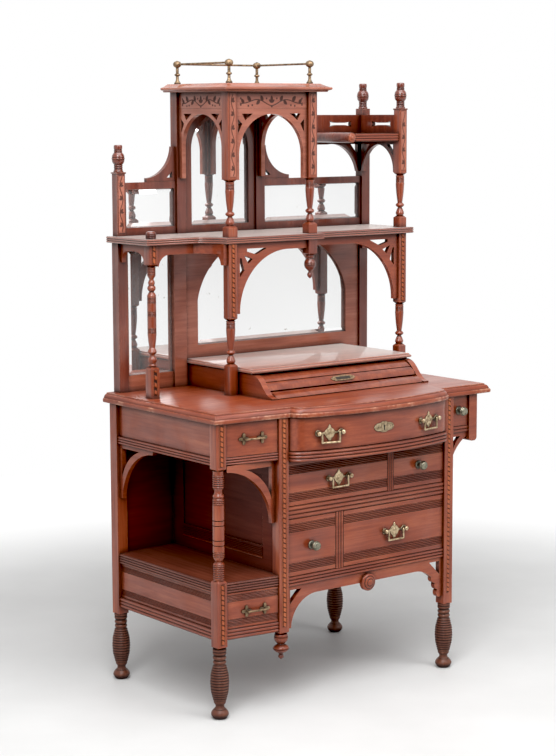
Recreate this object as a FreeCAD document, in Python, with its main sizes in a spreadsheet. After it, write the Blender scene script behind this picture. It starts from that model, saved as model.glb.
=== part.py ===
import FreeCAD, Part
import Sketcher
import os
import re

# Bonheur du jour: a ladies' writing desk with an open bay, a bank of drawers and a mirrored superstructure.
# Millimetres, +Z up, +X to the right of a person facing it, +Y to the back.
# The origin is on the floor under the middle of the desk top.

doc = FreeCAD.newDocument("bonheur_du_jour")
sheet = doc.addObject("Spreadsheet::Sheet", "sizes")

# Driving dimensions, piece by piece
SIZES = [
    ("desk_width", 898, "desk top, left edge to right edge"),
    ("desk_depth", 568, "desk top, back edge to the front of the bow"),
    ("desk_underside", 731, "floor to the underside of the desk top"),
    ("desk_thickness", 25, "desk top board"),
    ("desk_bevel", 11, "moulded edge of the desk top"),
    ("bow_rise", 30, "rise of the bowed front between its shoulders"),
    ("bow_shoulder", 31, "rounded shoulder at each end of the bow"),
    ("bow_rail_setback", 6, "bowed rail behind the desk edge"),
    ("bow_drawer_setback", 12, "bowed drawer front behind the desk edge"),
    ("corner_setback", 80, "left front corner of the top behind the front of the bow"),
    ("post_side", 30, "square posts of the base"),
    ("left_post_inset", 24, "left posts, centre from the left edge of the top"),
    ("pendant_inset", 201, "pendant post, centre from the left edge of the top"),
    ("right_post_inset", 144, "right posts, centre from the right edge of the top"),
    ("rear_post_inset", 33, "rear posts, centre from the back edge of the top"),
    ("front_post_inset", 82, "front posts, centre behind the front of the bow"),
    ("corner_post_inset", 100, "front left post, centre behind the front of the bow"),
    ("foot_height", 176, "turned foot"),
    ("foot_diameter", 48, "turned foot at its widest"),
    ("top_block_height", 115, "upper square block of the front left post"),
    ("foot_block_height", 171, "lower square block of the front left post"),
    ("left_shaft_diameter", 27, "turned shaft of the front left post"),
    ("bead_channel_width", 9, "channel for the bead strip in a post"),
    ("bead_channel_depth", 2, "depth of that channel"),
    ("pendant_underside", 186, "floor to the underside of the pendant post"),
    ("pendant_drop_height", 65, "turned drop of the pendant post"),
    ("pendant_drop_diameter", 42, "turned drop at its widest"),
    ("plinth_underside", 195, "floor to the underside of the open bay"),
    ("plinth_rail_height", 26, "bottom rail of the open bay"),
    ("plinth_height", 91, "drawer and panel above the bottom rail of the open bay"),
    ("bay_shelf_thickness", 26, "shelf of the open bay"),
    ("frieze_height", 84, "drawers right under the desk top"),
    ("frieze_rail_height", 20, "rail under the frieze of the open bay"),
    ("side_rail_depth", 24, "rails on the left side"),
    ("front_rail_depth", 24, "rails on the front"),
    ("rail_recess", 4, "rails behind the faces of the posts"),
    ("side_panel_thickness", 12, "left side panels"),
    ("panel_thickness", 18, "partition and right side panel"),
    ("back_thickness", 10, "back panels"),
    ("back_recess", 10, "back panels in front of the rear faces of the posts"),
    ("dust_thickness", 12, "boards that carry the drawers"),
    ("bow_opening", 85, "opening of the bowed drawer under the desk top"),
    ("bay_bottom_rail", 25, "bottom rail of the drawer bay"),
    ("third_row_height", 146, "opening of the lowest drawers"),
    ("middle_rail", 32, "rail between the second and third row"),
    ("second_row_height", 114, "opening of the second row"),
    ("bow_rail_height", 26, "bowed rail under the top drawer"),
    ("second_divider_inset", 185, "divider of the second row, centre from the right opening edge"),
    ("second_divider_width", 20, "divider of the second row"),
    ("third_divider_inset", 167, "divider of the third row, centre from the left opening edge"),
    ("third_divider_width", 26, "divider of the third row"),
    ("apron_height", 26, "apron under the drawer bay, at the middle"),
    ("apron_thickness", 14, "apron under the drawer bay"),
    ("apron_leg", 106, "apron under the drawer bay, at its ends"),
    ("apron_leg_width", 12, "foot of each end of the apron"),
    ("apron_arc", 82, "rounded corner of the apron"),
    ("apron_hole", 36, "pierced corner of the apron"),
    ("apron_hole_margin", 9, "wood around that hole"),
    ("rosette_diameter", 45, "turned rosette on the apron"),
    ("rosette_thickness", 11, "turned rosette on the apron"),
    ("bracket_thickness", 12, "flat brackets of the base"),
    ("bracket_leg", 10, "straight legs of an open bracket"),
    ("side_bracket_reach", 150, "open bracket on the left side, along the rail"),
    ("side_bracket_drop", 142, "open bracket on the left side, down the post"),
    ("front_bracket_strip", 15, "open bracket at the front of the open bay, under the rail"),
    ("front_bracket_drop", 158, "open bracket at the front of the open bay, down the pendant post"),
    ("brace_drop", 150, "curved brace under the cantilevered drawer"),
    ("drop_post_side", 28, "drop posts of the cantilevered case"),
    ("drop_post_inset", 48, "drop posts, centre from the right edge of the top"),
    ("drop_post_setback", 91, "front drop post, centre behind the front of the bow"),
    ("drop_post_height", 127, "drop posts below the desk top"),
    ("drop_post_round", 10, "rounded foot of the drop posts"),
    ("cantilever_rail_height", 18, "rail under the cantilevered drawer"),
    ("drawer_gap", 1, "clearance around a drawer front"),
    ("slide_gap", 0.3, "clearance under a drawer box"),
    ("box_gap", 4, "clearance beside a drawer box"),
    ("back_gap", 10, "clearance behind a drawer box"),
    ("front_thickness", 20, "drawer fronts"),
    ("front_recess", 2, "drawer fronts behind their rails"),
    ("band_margin", 12, "plain strip outside a reeded band"),
    ("band_height", 20, "reeded band of a drawer front"),
    ("band_depth", 2, "depth of a reeded band"),
    ("box_wall", 9, "drawer box sides and back"),
    ("box_bottom", 6, "drawer box bottom"),
    ("box_drop", 12, "drawer box sides below the top of the front"),
    ("pull_inset", 96.5, "pulls of the bowed drawer, centre from the ends of its opening"),
    ("pull_width", 80, "bat-wing plate"),
    ("pull_height", 42, "bat-wing plate"),
    ("pull_plate", 2, "bat-wing plate thickness"),
    ("pull_post_spacing", 68, "posts that hold a bail"),
    ("pull_post_diameter", 12, "posts that hold a bail"),
    ("pull_post_length", 11, "posts that hold a bail"),
    ("bail_pin_diameter", 3, "pins of a bail"),
    ("bail_pin_gap", 0.2, "running clearance of a bail pin"),
    ("bail_side_gap", 0.6, "clearance between a bail and its posts"),
    ("bail_rod", 5, "rod of a bail"),
    ("bail_drop", 24, "bail below its pins"),
    ("bail_rise", 1, "pins above the middle of the plate"),
    ("knob_diameter", 23, "drawer knobs"),
    ("knob_length", 26, "drawer knobs"),
    ("bar_spacing", 52, "rosettes of a bar pull"),
    ("bar_diameter", 5, "bar of a bar pull"),
    ("bar_standoff", 13, "bar of a bar pull from the drawer"),
    ("upper_pull_shift", 3, "upper bar pull to the right of the middle of its drawer"),
    ("lower_pull_shift", 8, "lower bar pull to the right of the middle of its drawer"),
    ("lower_pull_fall", 5, "lower bar pull below the middle of its drawer"),
    ("bar_rosette_diameter", 22, "rosettes of a bar pull"),
    ("bar_rosette_thickness", 3, "rosettes of a bar pull"),
    ("escutcheon_length", 62, "key escutcheon"),
    ("escutcheon_height", 24, "key escutcheon"),
    ("keyhole_diameter", 5, "key escutcheon"),
    ("flush_pull_length", 72, "flush pull of the stationery drawer"),
    ("flush_pull_height", 18, "flush pull of the stationery drawer"),
    ("flush_pull_border", 5, "flush pull of the stationery drawer"),
    ("stationery_left", 254, "box on the desk, left side from the left edge of the top"),
    ("stationery_right", 114, "box on the desk, right side from the right edge of the top"),
    ("stationery_depth", 362, "box on the desk, at its foot"),
    ("stationery_height", 56, "box on the desk below its top board"),
    ("stationery_wall", 16, "sides of the box on the desk"),
    ("stationery_slope", 81, "ogee front, from foot to top"),
    ("stationery_lid", 15, "top board of the box"),
    ("stationery_lid_overhang", 6, "top board past the sides and the front"),
    ("tier_side", 28, "posts of the superstructure"),
    ("tier_setback", 3, "posts of the superstructure in front of the back edge"),
    ("tier_left_inset", 47, "left posts of the superstructure, centre from the left edge of the top"),
    ("tier_right_inset", 42, "right columns of the superstructure, centre from the right edge of the top"),
    ("lower_right_inset", 38, "lower rear right post, centre from the right edge of the top"),
    ("upper_right_inset", 30, "upper rear right post, centre from the right edge of the top"),
    ("upper_left_side", 24, "upper left post"),
    ("stile_left", 146, "raised stile of the lower mirror frame, from the left post"),
    ("stile_width", 39, "raised stile of the lower mirror frame"),
    ("column_side", 26, "blocks of the lower columns"),
    ("column_diameter", 25, "turnings of the lower columns"),
    ("column_base", 82, "base block of the lower columns"),
    ("column_turning", 108, "turned part of the front columns"),
    ("left_column_block", 55, "upper block of the left column"),
    ("left_column_reach", 160, "left column, centre from the back edge"),
    ("right_column_reach", 188, "right column, centre from the back edge"),
    ("canopy_left_inset", 234, "canopy left columns, centre from the left edge of the top"),
    ("canopy_spacing", 260, "canopy columns, left to right"),
    ("canopy_reach", 241, "canopy front columns, centre from the back edge"),
    ("shelf_underside", 1143, "floor to the underside of the middle shelf"),
    ("shelf_thickness", 16, "middle shelf"),
    ("shelf_overhang", 15, "middle shelf past the posts at its ends"),
    ("shelf_nose", 4, "middle shelf past the canopy columns at its front"),
    ("shelf_lip", 12, "middle shelf past the outer columns at its front"),
    ("sweep_clearance", 10, "swept corner of the shelf from the canopy column"),
    ("shelf_step", 21, "middle shelf past the right canopy column"),
    ("shelf_sweep", 36, "swept corner of the shelf beside the canopy"),
    ("frame_thickness", 18, "mirror frames"),
    ("frame_recess", 6, "mirror frames behind the faces of the posts"),
    ("mirror_thickness", 4, "mirror plates"),
    ("mirror_recess", 7, "mirror plates behind the faces of the frames"),
    ("lower_bottom_rail", 41, "rail under the lower left mirror"),
    ("lower_top_rail", 20, "rail over the lower mirrors"),
    ("lower_left_mirror", 140, "lower left mirror, width"),
    ("lower_frame_margin", 6, "left mirror from the post"),
    ("arch_mirror_left", 226, "arched mirror from the left post"),
    ("arch_mirror_right", 47, "arched mirror from the lower right post"),
    ("arch_mirror_sill", 105, "arched mirror above the desk top"),
    ("arch_mirror_spring", 225, "arched mirror, straight sides above the desk top"),
    ("arch_mirror_crown", 250, "arched mirror, width of its flat crown"),
    ("apron_drop", 50, "aprons under the middle shelf"),
    ("sweep_drop", 26, "swept apron under the middle shelf"),
    ("sweep_cove", 28, "cove at each end of the swept apron"),
    ("apron_board", 12, "aprons and brackets of the superstructure"),
    ("fret_drop", 180, "pierced fret brackets, down the column"),
    ("fret_edge", 13, "leg of the pierced fret brackets"),
    ("fret_top", 21, "pierced fret brackets, past the arch"),
    ("shelf_pendant_block", 42, "block of the shelf pendant"),
    ("shelf_pendant_height", 60, "turned drop of the shelf pendant"),
    ("shelf_pendant_diameter", 30, "turned drop of the shelf pendant"),
    ("canopy_base_block", 31, "base block of the canopy columns"),
    ("canopy_turning", 107, "turned part of the canopy columns"),
    ("canopy_turning_diameter", 26, "turned part of the canopy columns"),
    ("canopy_underside", 1524, "floor to the underside of the cornice"),
    ("canopy_frieze", 46, "carved frieze of the canopy"),
    ("canopy_arch_crown", 10, "wood between frieze and arch"),
    ("canopy_arch_leg", 12, "legs of the canopy arches"),
    ("canopy_arch_foot", 6, "canopy arches above the foot of the square part"),
    ("canopy_pierce", 27, "pierced corners of the canopy arches"),
    ("canopy_pierce_margin", 9, "wood around the pierced corners"),
    ("cornice_height", 21, "cornice"),
    ("cornice_overhang", 28, "cornice past the columns"),
    ("cornice_slope", 22, "moulded edge of the cornice, inward"),
    ("cornice_rise", 12, "moulded edge of the cornice, upward"),
    ("gallery_height", 60, "brass gallery, cornice to the top of the balls"),
    ("gallery_ball", 18, "balls of the brass gallery"),
    ("gallery_rail_diameter", 5, "rails of the brass gallery"),
    ("small_mirror_sill", 20, "rails under the upper mirrors"),
    ("small_mirror_height", 98, "upper side mirrors"),
    ("small_mirror_rail", 18, "rails over the upper side mirrors"),
    ("small_mirror_margin", 5, "stiles beside the upper side mirrors"),
    ("canopy_mirror_margin", 22, "stiles beside the canopy mirror"),
    ("canopy_mirror_crown", 53, "wood over the canopy mirror"),
    ("left_post_height", 159, "upper left post above the shelf"),
    ("right_post_height", 319, "upper right posts above the shelf"),
    ("right_turning", 111, "turned part of the upper front right post"),
    ("finial_height", 73, "turned finials"),
    ("finial_diameter", 34, "turned finials at the ball"),
    ("corner_shelf_underside", 1394, "floor to the underside of the corner shelf"),
    ("corner_shelf_thickness", 21, "corner shelf"),
    ("corner_shelf_width", 171, "corner shelf, roll to front post"),
    ("corner_shelf_setback", 5, "corner shelf behind the face of its front post"),
    ("roll_diameter", 27, "rolled edge of the corner shelf"),
    ("roll_proud", 3, "rolled edge past the front of the shelf"),
    ("corner_gallery_height", 50, "pierced galleries over the corner shelf"),
    ("corner_bracket_drop", 85, "brackets under the corner shelf"),
    ("gallery_slot", 82, "dumb-bell cut-outs, length"),
    ("gallery_slot_height", 18, "dumb-bell cut-outs, height at the ends"),
    ("gallery_slot_waist", 7, "dumb-bell cut-outs, height at the waist"),
    ("quarter_bracket", 90, "quarter brackets beside the canopy"),
    ("slot_shift", 12, "dumb-bell cut-outs from the middle of a gallery"),
    ("cap_diameter", 26, "turned cap over the left column"),
    ("cap_height", 18, "turned cap over the left column"),
    ("recess_depth", 5, "panel of the partition below its frame"),
    ("recess_stile", 46, "frame of the partition, beside and above its panel"),
    ("recess_rail", 62, "frame of the partition, below its panel"),
    ("overrun", 2, "cuts past the faces they open"),
]
aliases = [name for name, number, note in SIZES]
for row, (name, number, note) in enumerate(SIZES, start=1):
    sheet.set("A%d" % row, note)
    sheet.set("B%d" % row, str(number))
    sheet.setAlias("B%d" % row, name)
doc.recompute()


# Working with expressions
def link(expression):
    """Write an expression on the sheet's names so that any object can hold it."""
    return re.sub(r"[a-z]\w*", lambda m: "sizes." + m[0] if m[0] in aliases else m[0], str(expression))


def measure(expression):
    return float(sheet.evalExpression(str(expression)))


def bind(thing, **sizes):
    for key, expression in sizes.items():
        thing.setExpression(key, link(expression))


def put(thing, x="0", y="0", z="0"):
    for axis, expression in zip("xyz", (x, y, z)):
        thing.setExpression("Placement.Base." + axis, link(expression))
    return thing


def between(low, high):
    return f"({high}) - ({low})"


# Basic pieces
def block(name, x, y, z):
    """A board given by its (low, high) pair on each axis."""
    board = doc.addObject("Part::Box", name)
    bind(board, Length=between(*x), Width=between(*y), Height=between(*z))
    return put(board, x[0], y[0], z[0])


def plane_of(body, role):
    return next(plane for plane in body.Origin.OriginFeatures if plane.Role == role)


def draw_loop(sketch, points):
    """A closed outline. A point is (x, y) or (x, y, bulge), where bulge is the rise over the chord of the arc
    from that point to the next, positive when it swells to the right of the way."""
    first = sketch.GeometryCount
    corners = [(p[0], p[1], p[2] if len(p) > 2 else 0) for p in points]
    swells = [measure(bulge) for x, y, bulge in corners]
    ends = []
    for index, (x, y, bulge) in enumerate(corners):
        next_x, next_y = corners[(index + 1) % len(corners)][:2]
        start = FreeCAD.Vector(measure(x), measure(y), 0)
        end = FreeCAD.Vector(measure(next_x), measure(next_y), 0)
        if bulge:
            way = end - start
            middle = (start + end) * 0.5 + FreeCAD.Vector(way.y, -way.x, 0) * swells[index]
            arc = Part.Arc(start, middle, end)
            sketch.addGeometry(arc)
            forward = sketch.getPoint(first + index, 1).distanceToPoint(start) < 1e-6
            ends.append((1, 2) if forward else (2, 1))
        else:
            sketch.addGeometry(Part.LineSegment(start, end))
            ends.append((1, 2))
    for index, (x, y, bulge) in enumerate(corners):
        line = first + index
        after = first + (index + 1) % len(corners)
        sketch.addConstraint(Sketcher.Constraint("Coincident", line, ends[index][1], after,
                                                 ends[after - first][0]))
        for kind, expression in (("DistanceX", x), ("DistanceY", y)):
            rule = Sketcher.Constraint(kind, -1, 1, line, ends[index][0], measure(expression))
            sketch.setExpression("Constraints[%d]" % sketch.addConstraint(rule), link(expression))
        if bulge:
            next_x, next_y = corners[(index + 1) % len(corners)][:2]
            chord = f"sqrt(({between(x, next_x)})^2 + ({between(y, next_y)})^2)"
            radius = f"{chord} * abs(1 / (8 * ({bulge})) + ({bulge}) / 2)"
            rule = Sketcher.Constraint("Radius", line, measure(radius))
            sketch.setExpression("Constraints[%d]" % sketch.addConstraint(rule), link(radius))


def slab(name, plane, thickness, *loops):
    """A flat piece cut to an outline, with any piercings, on one plane of its own body.
    XY grows up, XZ grows to the front, YZ grows to the right."""
    body = doc.addObject("PartDesign::Body", name)
    sketch = body.newObject("Sketcher::SketchObject", name + "_outline")
    sketch.AttachmentSupport = [(plane_of(body, plane + "_Plane"), "")]
    sketch.MapMode = "FlatFace"
    for loop in loops:
        draw_loop(sketch, loop)
    pad = body.newObject("PartDesign::Pad", name + "_pad")
    pad.Profile = sketch
    bind(pad, Length=thickness)
    return body


def turned(name, diameter, height, shares):
    """A turning that stands on the origin. A row of shares is (height, radius, bulge), from foot to top."""
    body = doc.addObject("PartDesign::Body", name)
    sketch = body.newObject("Sketcher::SketchObject", name + "_profile")
    sketch.AttachmentSupport = [(plane_of(body, "XZ_Plane"), "")]
    sketch.MapMode = "FlatFace"
    profile = [("0", f"({height}) * {shares[0][0]}")]
    for level, reach, bulge in shares:
        profile.append((f"({diameter}) / 2 * {reach}", f"({height}) * {level}", bulge))
    profile.append(("0", f"({height}) * {shares[-1][0]}"))
    draw_loop(sketch, profile)
    spin = body.newObject("PartDesign::Revolution", name + "_spin")
    spin.Profile = sketch
    spin.ReferenceAxis = (sketch, ["V_Axis"])
    spin.Angle = 360
    return body


def fuse(name, pieces):
    whole = doc.addObject("Part::MultiFuse", name)
    whole.Shapes = pieces
    return whole


def cut(name, base, tool):
    rest = doc.addObject("Part::Cut", name)
    rest.Base = base
    rest.Tool = tool
    return rest


def rod(name, diameter, length, axis, angle):
    bar = doc.addObject("Part::Cylinder", name)
    bind(bar, Radius=f"({diameter}) / 2", Height=length)
    bar.Placement = FreeCAD.Placement(FreeCAD.Vector(), FreeCAD.Rotation(axis, angle))
    return bar


def edges_at_height(shape, height):
    """Names of the level edges at one height, but for the one along the back."""
    names = []
    for number, edge in enumerate(shape.Edges, start=1):
        level = all(abs(v.Z - height) < 1e-6 for v in edge.Vertexes) and edge.BoundBox.ZLength < 1e-6
        if level and edge.BoundBox.YMin < shape.BoundBox.YMax - 1e-6:
            names.append("Edge%d" % number)
    return names


nodes = {}


def node(name, pieces):
    """Give a node its label: one piece, or a group of separate ones."""
    if len(pieces) == 1:
        thing = pieces[0]
    else:
        thing = doc.addObject("Part::Compound", name)
        thing.Links = pieces
    thing.Label = name
    nodes[name] = thing


AXIS_X = FreeCAD.Vector(1, 0, 0)
AXIS_Y = FreeCAD.Vector(0, 1, 0)

# Places that several pieces share
back = "(desk_depth / 2)"
bow_apex = "(-desk_depth / 2)"
left_edge = "(-desk_width / 2)"
right_edge = "(desk_width / 2)"
post_left = f"({left_edge} + left_post_inset)"
post_pendant = f"({left_edge} + pendant_inset)"
post_right = f"({right_edge} - right_post_inset)"
post_rear = f"({back} - rear_post_inset)"
post_front = f"({bow_apex} + front_post_inset)"
post_corner = f"({bow_apex} + corner_post_inset)"
half_post = "(post_side / 2)"
bay_left = f"({post_pendant} + {half_post})"
bay_right = f"({post_right} - {half_post})"
open_left = f"({post_left} + {half_post})"
open_right = f"({post_pendant} - {half_post})"
front_face = f"({post_front} - {half_post})"
front_inner = f"({post_front} + {half_post})"
rear_inner = f"({post_rear} - {half_post})"
rail_face = f"({front_face} + rail_recess)"
rail_inner = f"({rail_face} + front_rail_depth)"
back_outer = f"({post_rear} + {half_post} - back_recess)"
back_inner = f"({back_outer} - back_thickness)"
partition_left = f"({post_pendant} - panel_thickness / 2)"
partition_right = f"({post_pendant} + panel_thickness / 2)"
side_panel_left = f"({post_right} - panel_thickness / 2)"
plinth_floor = "(plinth_underside + plinth_rail_height)"
plinth_top = f"({plinth_floor} + plinth_height)"
bay_shelf_top = f"({plinth_top} + bay_shelf_thickness)"
frieze_floor = "(desk_underside - frieze_height)"
frieze_rail_under = f"({frieze_floor} - frieze_rail_height)"
bow_floor = "(desk_underside - bow_opening)"
second_top = f"({bow_floor} - bow_rail_height)"
second_floor = f"({second_top} - second_row_height)"
third_top = f"({second_floor} - middle_rail)"
third_floor = f"({third_top} - third_row_height)"
bay_underside = f"({third_floor} - bay_bottom_rail)"
desk_surface = "(desk_underside + desk_thickness)"
drop_x = f"({right_edge} - drop_post_inset)"
drop_front = f"({bow_apex} + drop_post_setback)"
half_drop = "(drop_post_side / 2)"
tier_front = f"({back} - tier_setback - tier_side)"
tier_left = f"({left_edge} + tier_left_inset)"
tier_right = f"({right_edge} - tier_right_inset)"
lower_right = f"({right_edge} - lower_right_inset)"
upper_right = f"({right_edge} - upper_right_inset)"
half_tier = "(tier_side / 2)"
shelf_surface = "(shelf_underside + shelf_thickness)"
canopy_left = f"({left_edge} + canopy_left_inset)"
canopy_right = f"({canopy_left} + canopy_spacing)"
canopy_front = f"({back} - canopy_reach)"
middle_y = f"({tier_front} + {half_tier})"
frame_front = f"({tier_front} + frame_recess)"
frame_back = f"({frame_front} + frame_thickness)"


def square_post(name, x, y, low, high, side="post_side"):
    half = f"({side}) / 2"
    return block(name, (f"{x} - {half}", f"{x} + {half}"), (f"{y} - {half}", f"{y} + {half}"), (low, high))


def bead_channel(name, x, face, low, high):
    """The shallow upright channel for a bead strip in the front face of a post."""
    half = "bead_channel_width / 2"
    return block(name, (f"{x} - {half}", f"{x} + {half}"),
                 (f"{face} - overrun", f"{face} + bead_channel_depth"),
                 (low, high))


# Rise over chord of a quarter circle, and the tangent of an eighth of half a turn
QUARTER_BULGE_SHARE = 0.2071
EIGHTH_TURN_SHARE = 0.4142


def bow_front(setback, left, right):
    """The bowed front from left to right: a shoulder, the long arc and the other shoulder, which run smoothly
    into each other."""
    shoulder = f"({bow_apex} + {setback} + bow_rise)"
    start = f"({shoulder} + bow_shoulder)"
    bow_bulge = f"(bow_rise / ({right} - {left} - 2 * bow_shoulder))"
    lean = f"(2 * {bow_bulge})"
    shoulder_bulge = f"(({EIGHTH_TURN_SHARE} - {lean}) / (1 + {EIGHTH_TURN_SHARE} * {lean}) / 2)"
    return [
        (left, start, shoulder_bulge),
        (f"{left} + bow_shoulder", shoulder, bow_bulge),
        (f"{right} - bow_shoulder", shoulder, shoulder_bulge),
        (right, start),
    ]


# Turned feet
FOOT_SHARES = [
    (0.000, 0.66, 0.24), (0.165, 0.66, 0), (0.185, 0.46, 0), (0.225, 0.46, 0.05), (0.55, 1.00, 0.07),
    (0.85, 0.58, 0), (0.865, 0.70, 0.3), (0.905, 0.70, 0), (0.915, 0.56, 0), (0.945, 0.56, 0),
    (0.955, 0.72, 0), (1.000, 0.72, 0),
]
foot_places = [(post_left, post_corner), (post_right, post_front), (post_left, post_rear),
               (post_right, post_rear)]
feet = []
for number, (x, y) in enumerate(foot_places, start=1):
    foot = turned("foot_%d" % number, "foot_diameter", "foot_height", FOOT_SHARES)
    feet.append(put(foot, x, y))
node("turned_feet", feet)

# Posts of the base
LEFT_SHAFT_SHARES = [
    (0.000, 0.92, 0), (0.105, 0.92, 0.15), (0.165, 0.80, 0), (0.18, 0.70, 0), (0.195, 0.70, 0),
    (0.21, 1.00, 0), (0.79, 1.00, 0.25), (0.83, 0.96, 0), (0.84, 0.70, 0), (0.875, 0.70, 0),
    (0.89, 0.92, 0), (1.000, 0.92, 0),
]
top_block_under = "(desk_underside - top_block_height)"
foot_block_top = "(foot_height + foot_block_height)"
corner_face = f"({post_corner} - {half_post})"
left_blocks = [
    square_post("left_foot_block", post_left, post_corner, "foot_height", foot_block_top),
    square_post("left_top_block", post_left, post_corner, top_block_under, "desk_underside"),
]
left_shaft = turned("left_shaft", "left_shaft_diameter", between(foot_block_top, top_block_under),
                    LEFT_SHAFT_SHARES)
put(left_shaft, post_left, post_corner, foot_block_top)
left_channels = fuse("left_channels", [
    bead_channel("left_foot_channel", post_left, corner_face, "foot_height + post_side / 2",
                 f"{foot_block_top} - post_side / 2"),
    bead_channel("left_top_channel", post_left, corner_face, f"{top_block_under} + post_side / 2",
                 "desk_underside - post_side / 2"),
])
node("front_left_post", [cut("left_post_cut", fuse("left_post", left_blocks + [left_shaft]), left_channels)])

right_post = cut(
    "right_front_post",
    square_post("right_front_blank", post_right, post_front, "foot_height", "desk_underside"),
    bead_channel("right_channel", post_right, front_face, "foot_height + post_side",
                 "desk_underside - overrun"))
node("square_posts", [
    right_post,
    square_post("rear_left_post", post_left, post_rear, "foot_height", "desk_underside"),
    square_post("rear_right_post", post_right, post_rear, "foot_height", "desk_underside"),
])

DROP_SHARES = [
    (0.00, 0.20, 0.45), (0.22, 0.16, 0), (0.30, 0.20, 0), (0.34, 0.62, 0), (0.42, 1.00, 0.3), (0.58, 0.96, 0),
    (0.66, 0.50, 0), (0.72, 0.50, -0.15), (0.90, 0.78, 0), (1.00, 0.80, 0),
]
pendant_drop = turned("pendant_drop", "pendant_drop_diameter", "pendant_drop_height", DROP_SHARES)
put(pendant_drop, post_pendant, post_front, "pendant_underside - pendant_drop_height")
pendant = fuse("pendant", [
    square_post("pendant_block", post_pendant, post_front, "pendant_underside", "desk_underside"),
    pendant_drop])
node("pendant_post", [cut(
    "pendant_cut", pendant,
    bead_channel("pendant_channel", post_pendant, front_face, "pendant_underside + post_side / 2",
                 "desk_underside - overrun"))])

# Desk top
desk_outline = [
    (left_edge, back), (left_edge, f"{bow_apex} + corner_setback"),
    *bow_front("0", bay_left, bay_right),
    (right_edge, f"{bow_apex} + bow_rise + bow_shoulder"), (right_edge, back),
]
desk = slab("desk_top", "XY", "desk_thickness", desk_outline)
put(desk, z="desk_underside")
doc.recompute()
desk_pad = desk.Tip
bevel = desk.newObject("PartDesign::Chamfer", "desk_top_bevel")
desk_rim = edges_at_height(desk_pad.Shape, measure("desk_thickness"))
bevel.Base = (desk_pad, desk_rim)
bind(bevel, Size="desk_bevel")
node("desk_top", [desk])


# Rails and dividers
REED_BULGE_SHARE = 0.22


def reeds(face, low, high):
    """Three reeds on a rail, from top to bottom, as the face of its section."""
    third = f"({between(low, high)}) / 3"
    face_points = [(face, f"{low} + {third} * {reed}", REED_BULGE_SHARE) for reed in (3, 2, 1)]
    return face_points + [(face, low)]


def reeded_rail(name, x, low, high, face, inner):
    """A straight front rail whose face has three reeds, run along X."""
    section = [(inner, low), (inner, high), *reeds(face, low, high)]
    rail = slab(name, "YZ", between(*x), section)
    return put(rail, x[0])


def side_rail(name, low, high):
    """A left side rail whose outer face has three reeds, run along Y."""
    outer = f"({post_left} - side_rail_depth / 2)"
    inner = f"({post_left} + side_rail_depth / 2)"
    section = [(inner, low), (inner, high), *reeds(outer, low, high)]
    corner_inner = f"({post_corner} + {half_post})"
    rail = slab(name, "XZ", between(corner_inner, rear_inner), section)
    return put(rail, y=rear_inner)


reed_rise = f"(frieze_rail_height / 3 * {REED_BULGE_SHARE})"
rail_line = f"({rail_face} + {reed_rise})"
corner_rail_face = f"({corner_face} + rail_recess)"
corner_rail_inner = f"({corner_rail_face} + front_rail_depth)"


def canted_rail(name, low, high):
    """A front rail of the open bay, canted from the corner post to the pendant post."""
    outline = [(open_left, corner_rail_inner), (open_left, corner_rail_face), (open_right, rail_face),
               (open_right, rail_inner)]
    return put(slab(name, "XY", between(low, high), outline), z=low)


bow_rail = slab("bow_rail", "XY", "bow_rail_height", [
    *bow_front("bow_rail_setback", bay_left, bay_right), (bay_right, front_inner), (bay_left, front_inner)])
put(bow_rail, z=second_top)
second_divider = f"({bay_right} - second_divider_inset)"
third_divider = f"({bay_left} + third_divider_inset)"


def divider(name, middle, width, low, high):
    return block(name, (f"{middle} - {width} / 2", f"{middle} + {width} / 2"), (rail_face, back_inner),
                 (low, high))


drop_left = f"({drop_x} - {half_drop})"
cantilever_left = f"({post_right} + {half_post})"
drop_face = f"({drop_front} - {half_drop})"
drop_inner = f"({drop_front} + {half_drop})"
cantilever_rail_under = f"({frieze_floor} - cantilever_rail_height)"
node("moulded_rails", [
    reeded_rail("bay_bottom_rail_bar", (bay_left, bay_right), bay_underside, third_floor, rail_line,
                front_inner),
    reeded_rail("bay_middle_rail_bar", (bay_left, bay_right), third_top, second_floor, rail_line,
                front_inner),
    bow_rail,
    divider("second_row_divider", second_divider, "second_divider_width", second_floor, second_top),
    divider("third_row_divider", third_divider, "third_divider_width", third_floor, third_top),
    side_rail("side_plinth_rail", "plinth_underside", plinth_floor),
    side_rail("side_frieze_rail", frieze_rail_under, frieze_floor),
    canted_rail("front_plinth_rail", "plinth_underside", plinth_floor),
    canted_rail("front_frieze_rail", frieze_rail_under, frieze_floor),
    reeded_rail("cantilever_rail", (cantilever_left, drop_left), cantilever_rail_under, frieze_floor,
                f"{drop_face} + rail_recess", drop_inner),
])


# Boards that carry the drawers
def open_bay_floor(name, thickness, top):
    outline = [
        (open_left, corner_rail_inner), (open_right, rail_inner), (open_right, front_inner),
        (partition_left, front_inner), (partition_left, back_inner), (open_left, back_inner),
    ]
    return put(slab(name, "XY", thickness, outline), z=f"{top} - {thickness}")


def bay_floor(name, top):
    return block(name, (partition_right, side_panel_left), (front_inner, rear_inner),
                 (f"{top} - dust_thickness", top))


rear_drop = f"({post_rear} + {half_post} - drop_post_side / 2)"
rear_drop_face = f"({rear_drop} - {half_drop})"
cantilever_side = f"({drop_x} - side_panel_thickness / 2)"
node("dust_boards", [
    bay_floor("third_row_board", third_floor),
    bay_floor("second_row_board", second_floor),
    bay_floor("bow_drawer_board", bow_floor),
    open_bay_floor("plinth_board", "dust_thickness", plinth_floor),
    open_bay_floor("frieze_board", "dust_thickness", frieze_floor),
    block("cantilever_board", (cantilever_left, cantilever_side), (drop_inner, rear_drop_face),
          (f"{frieze_floor} - dust_thickness", frieze_floor)),
])

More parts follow.
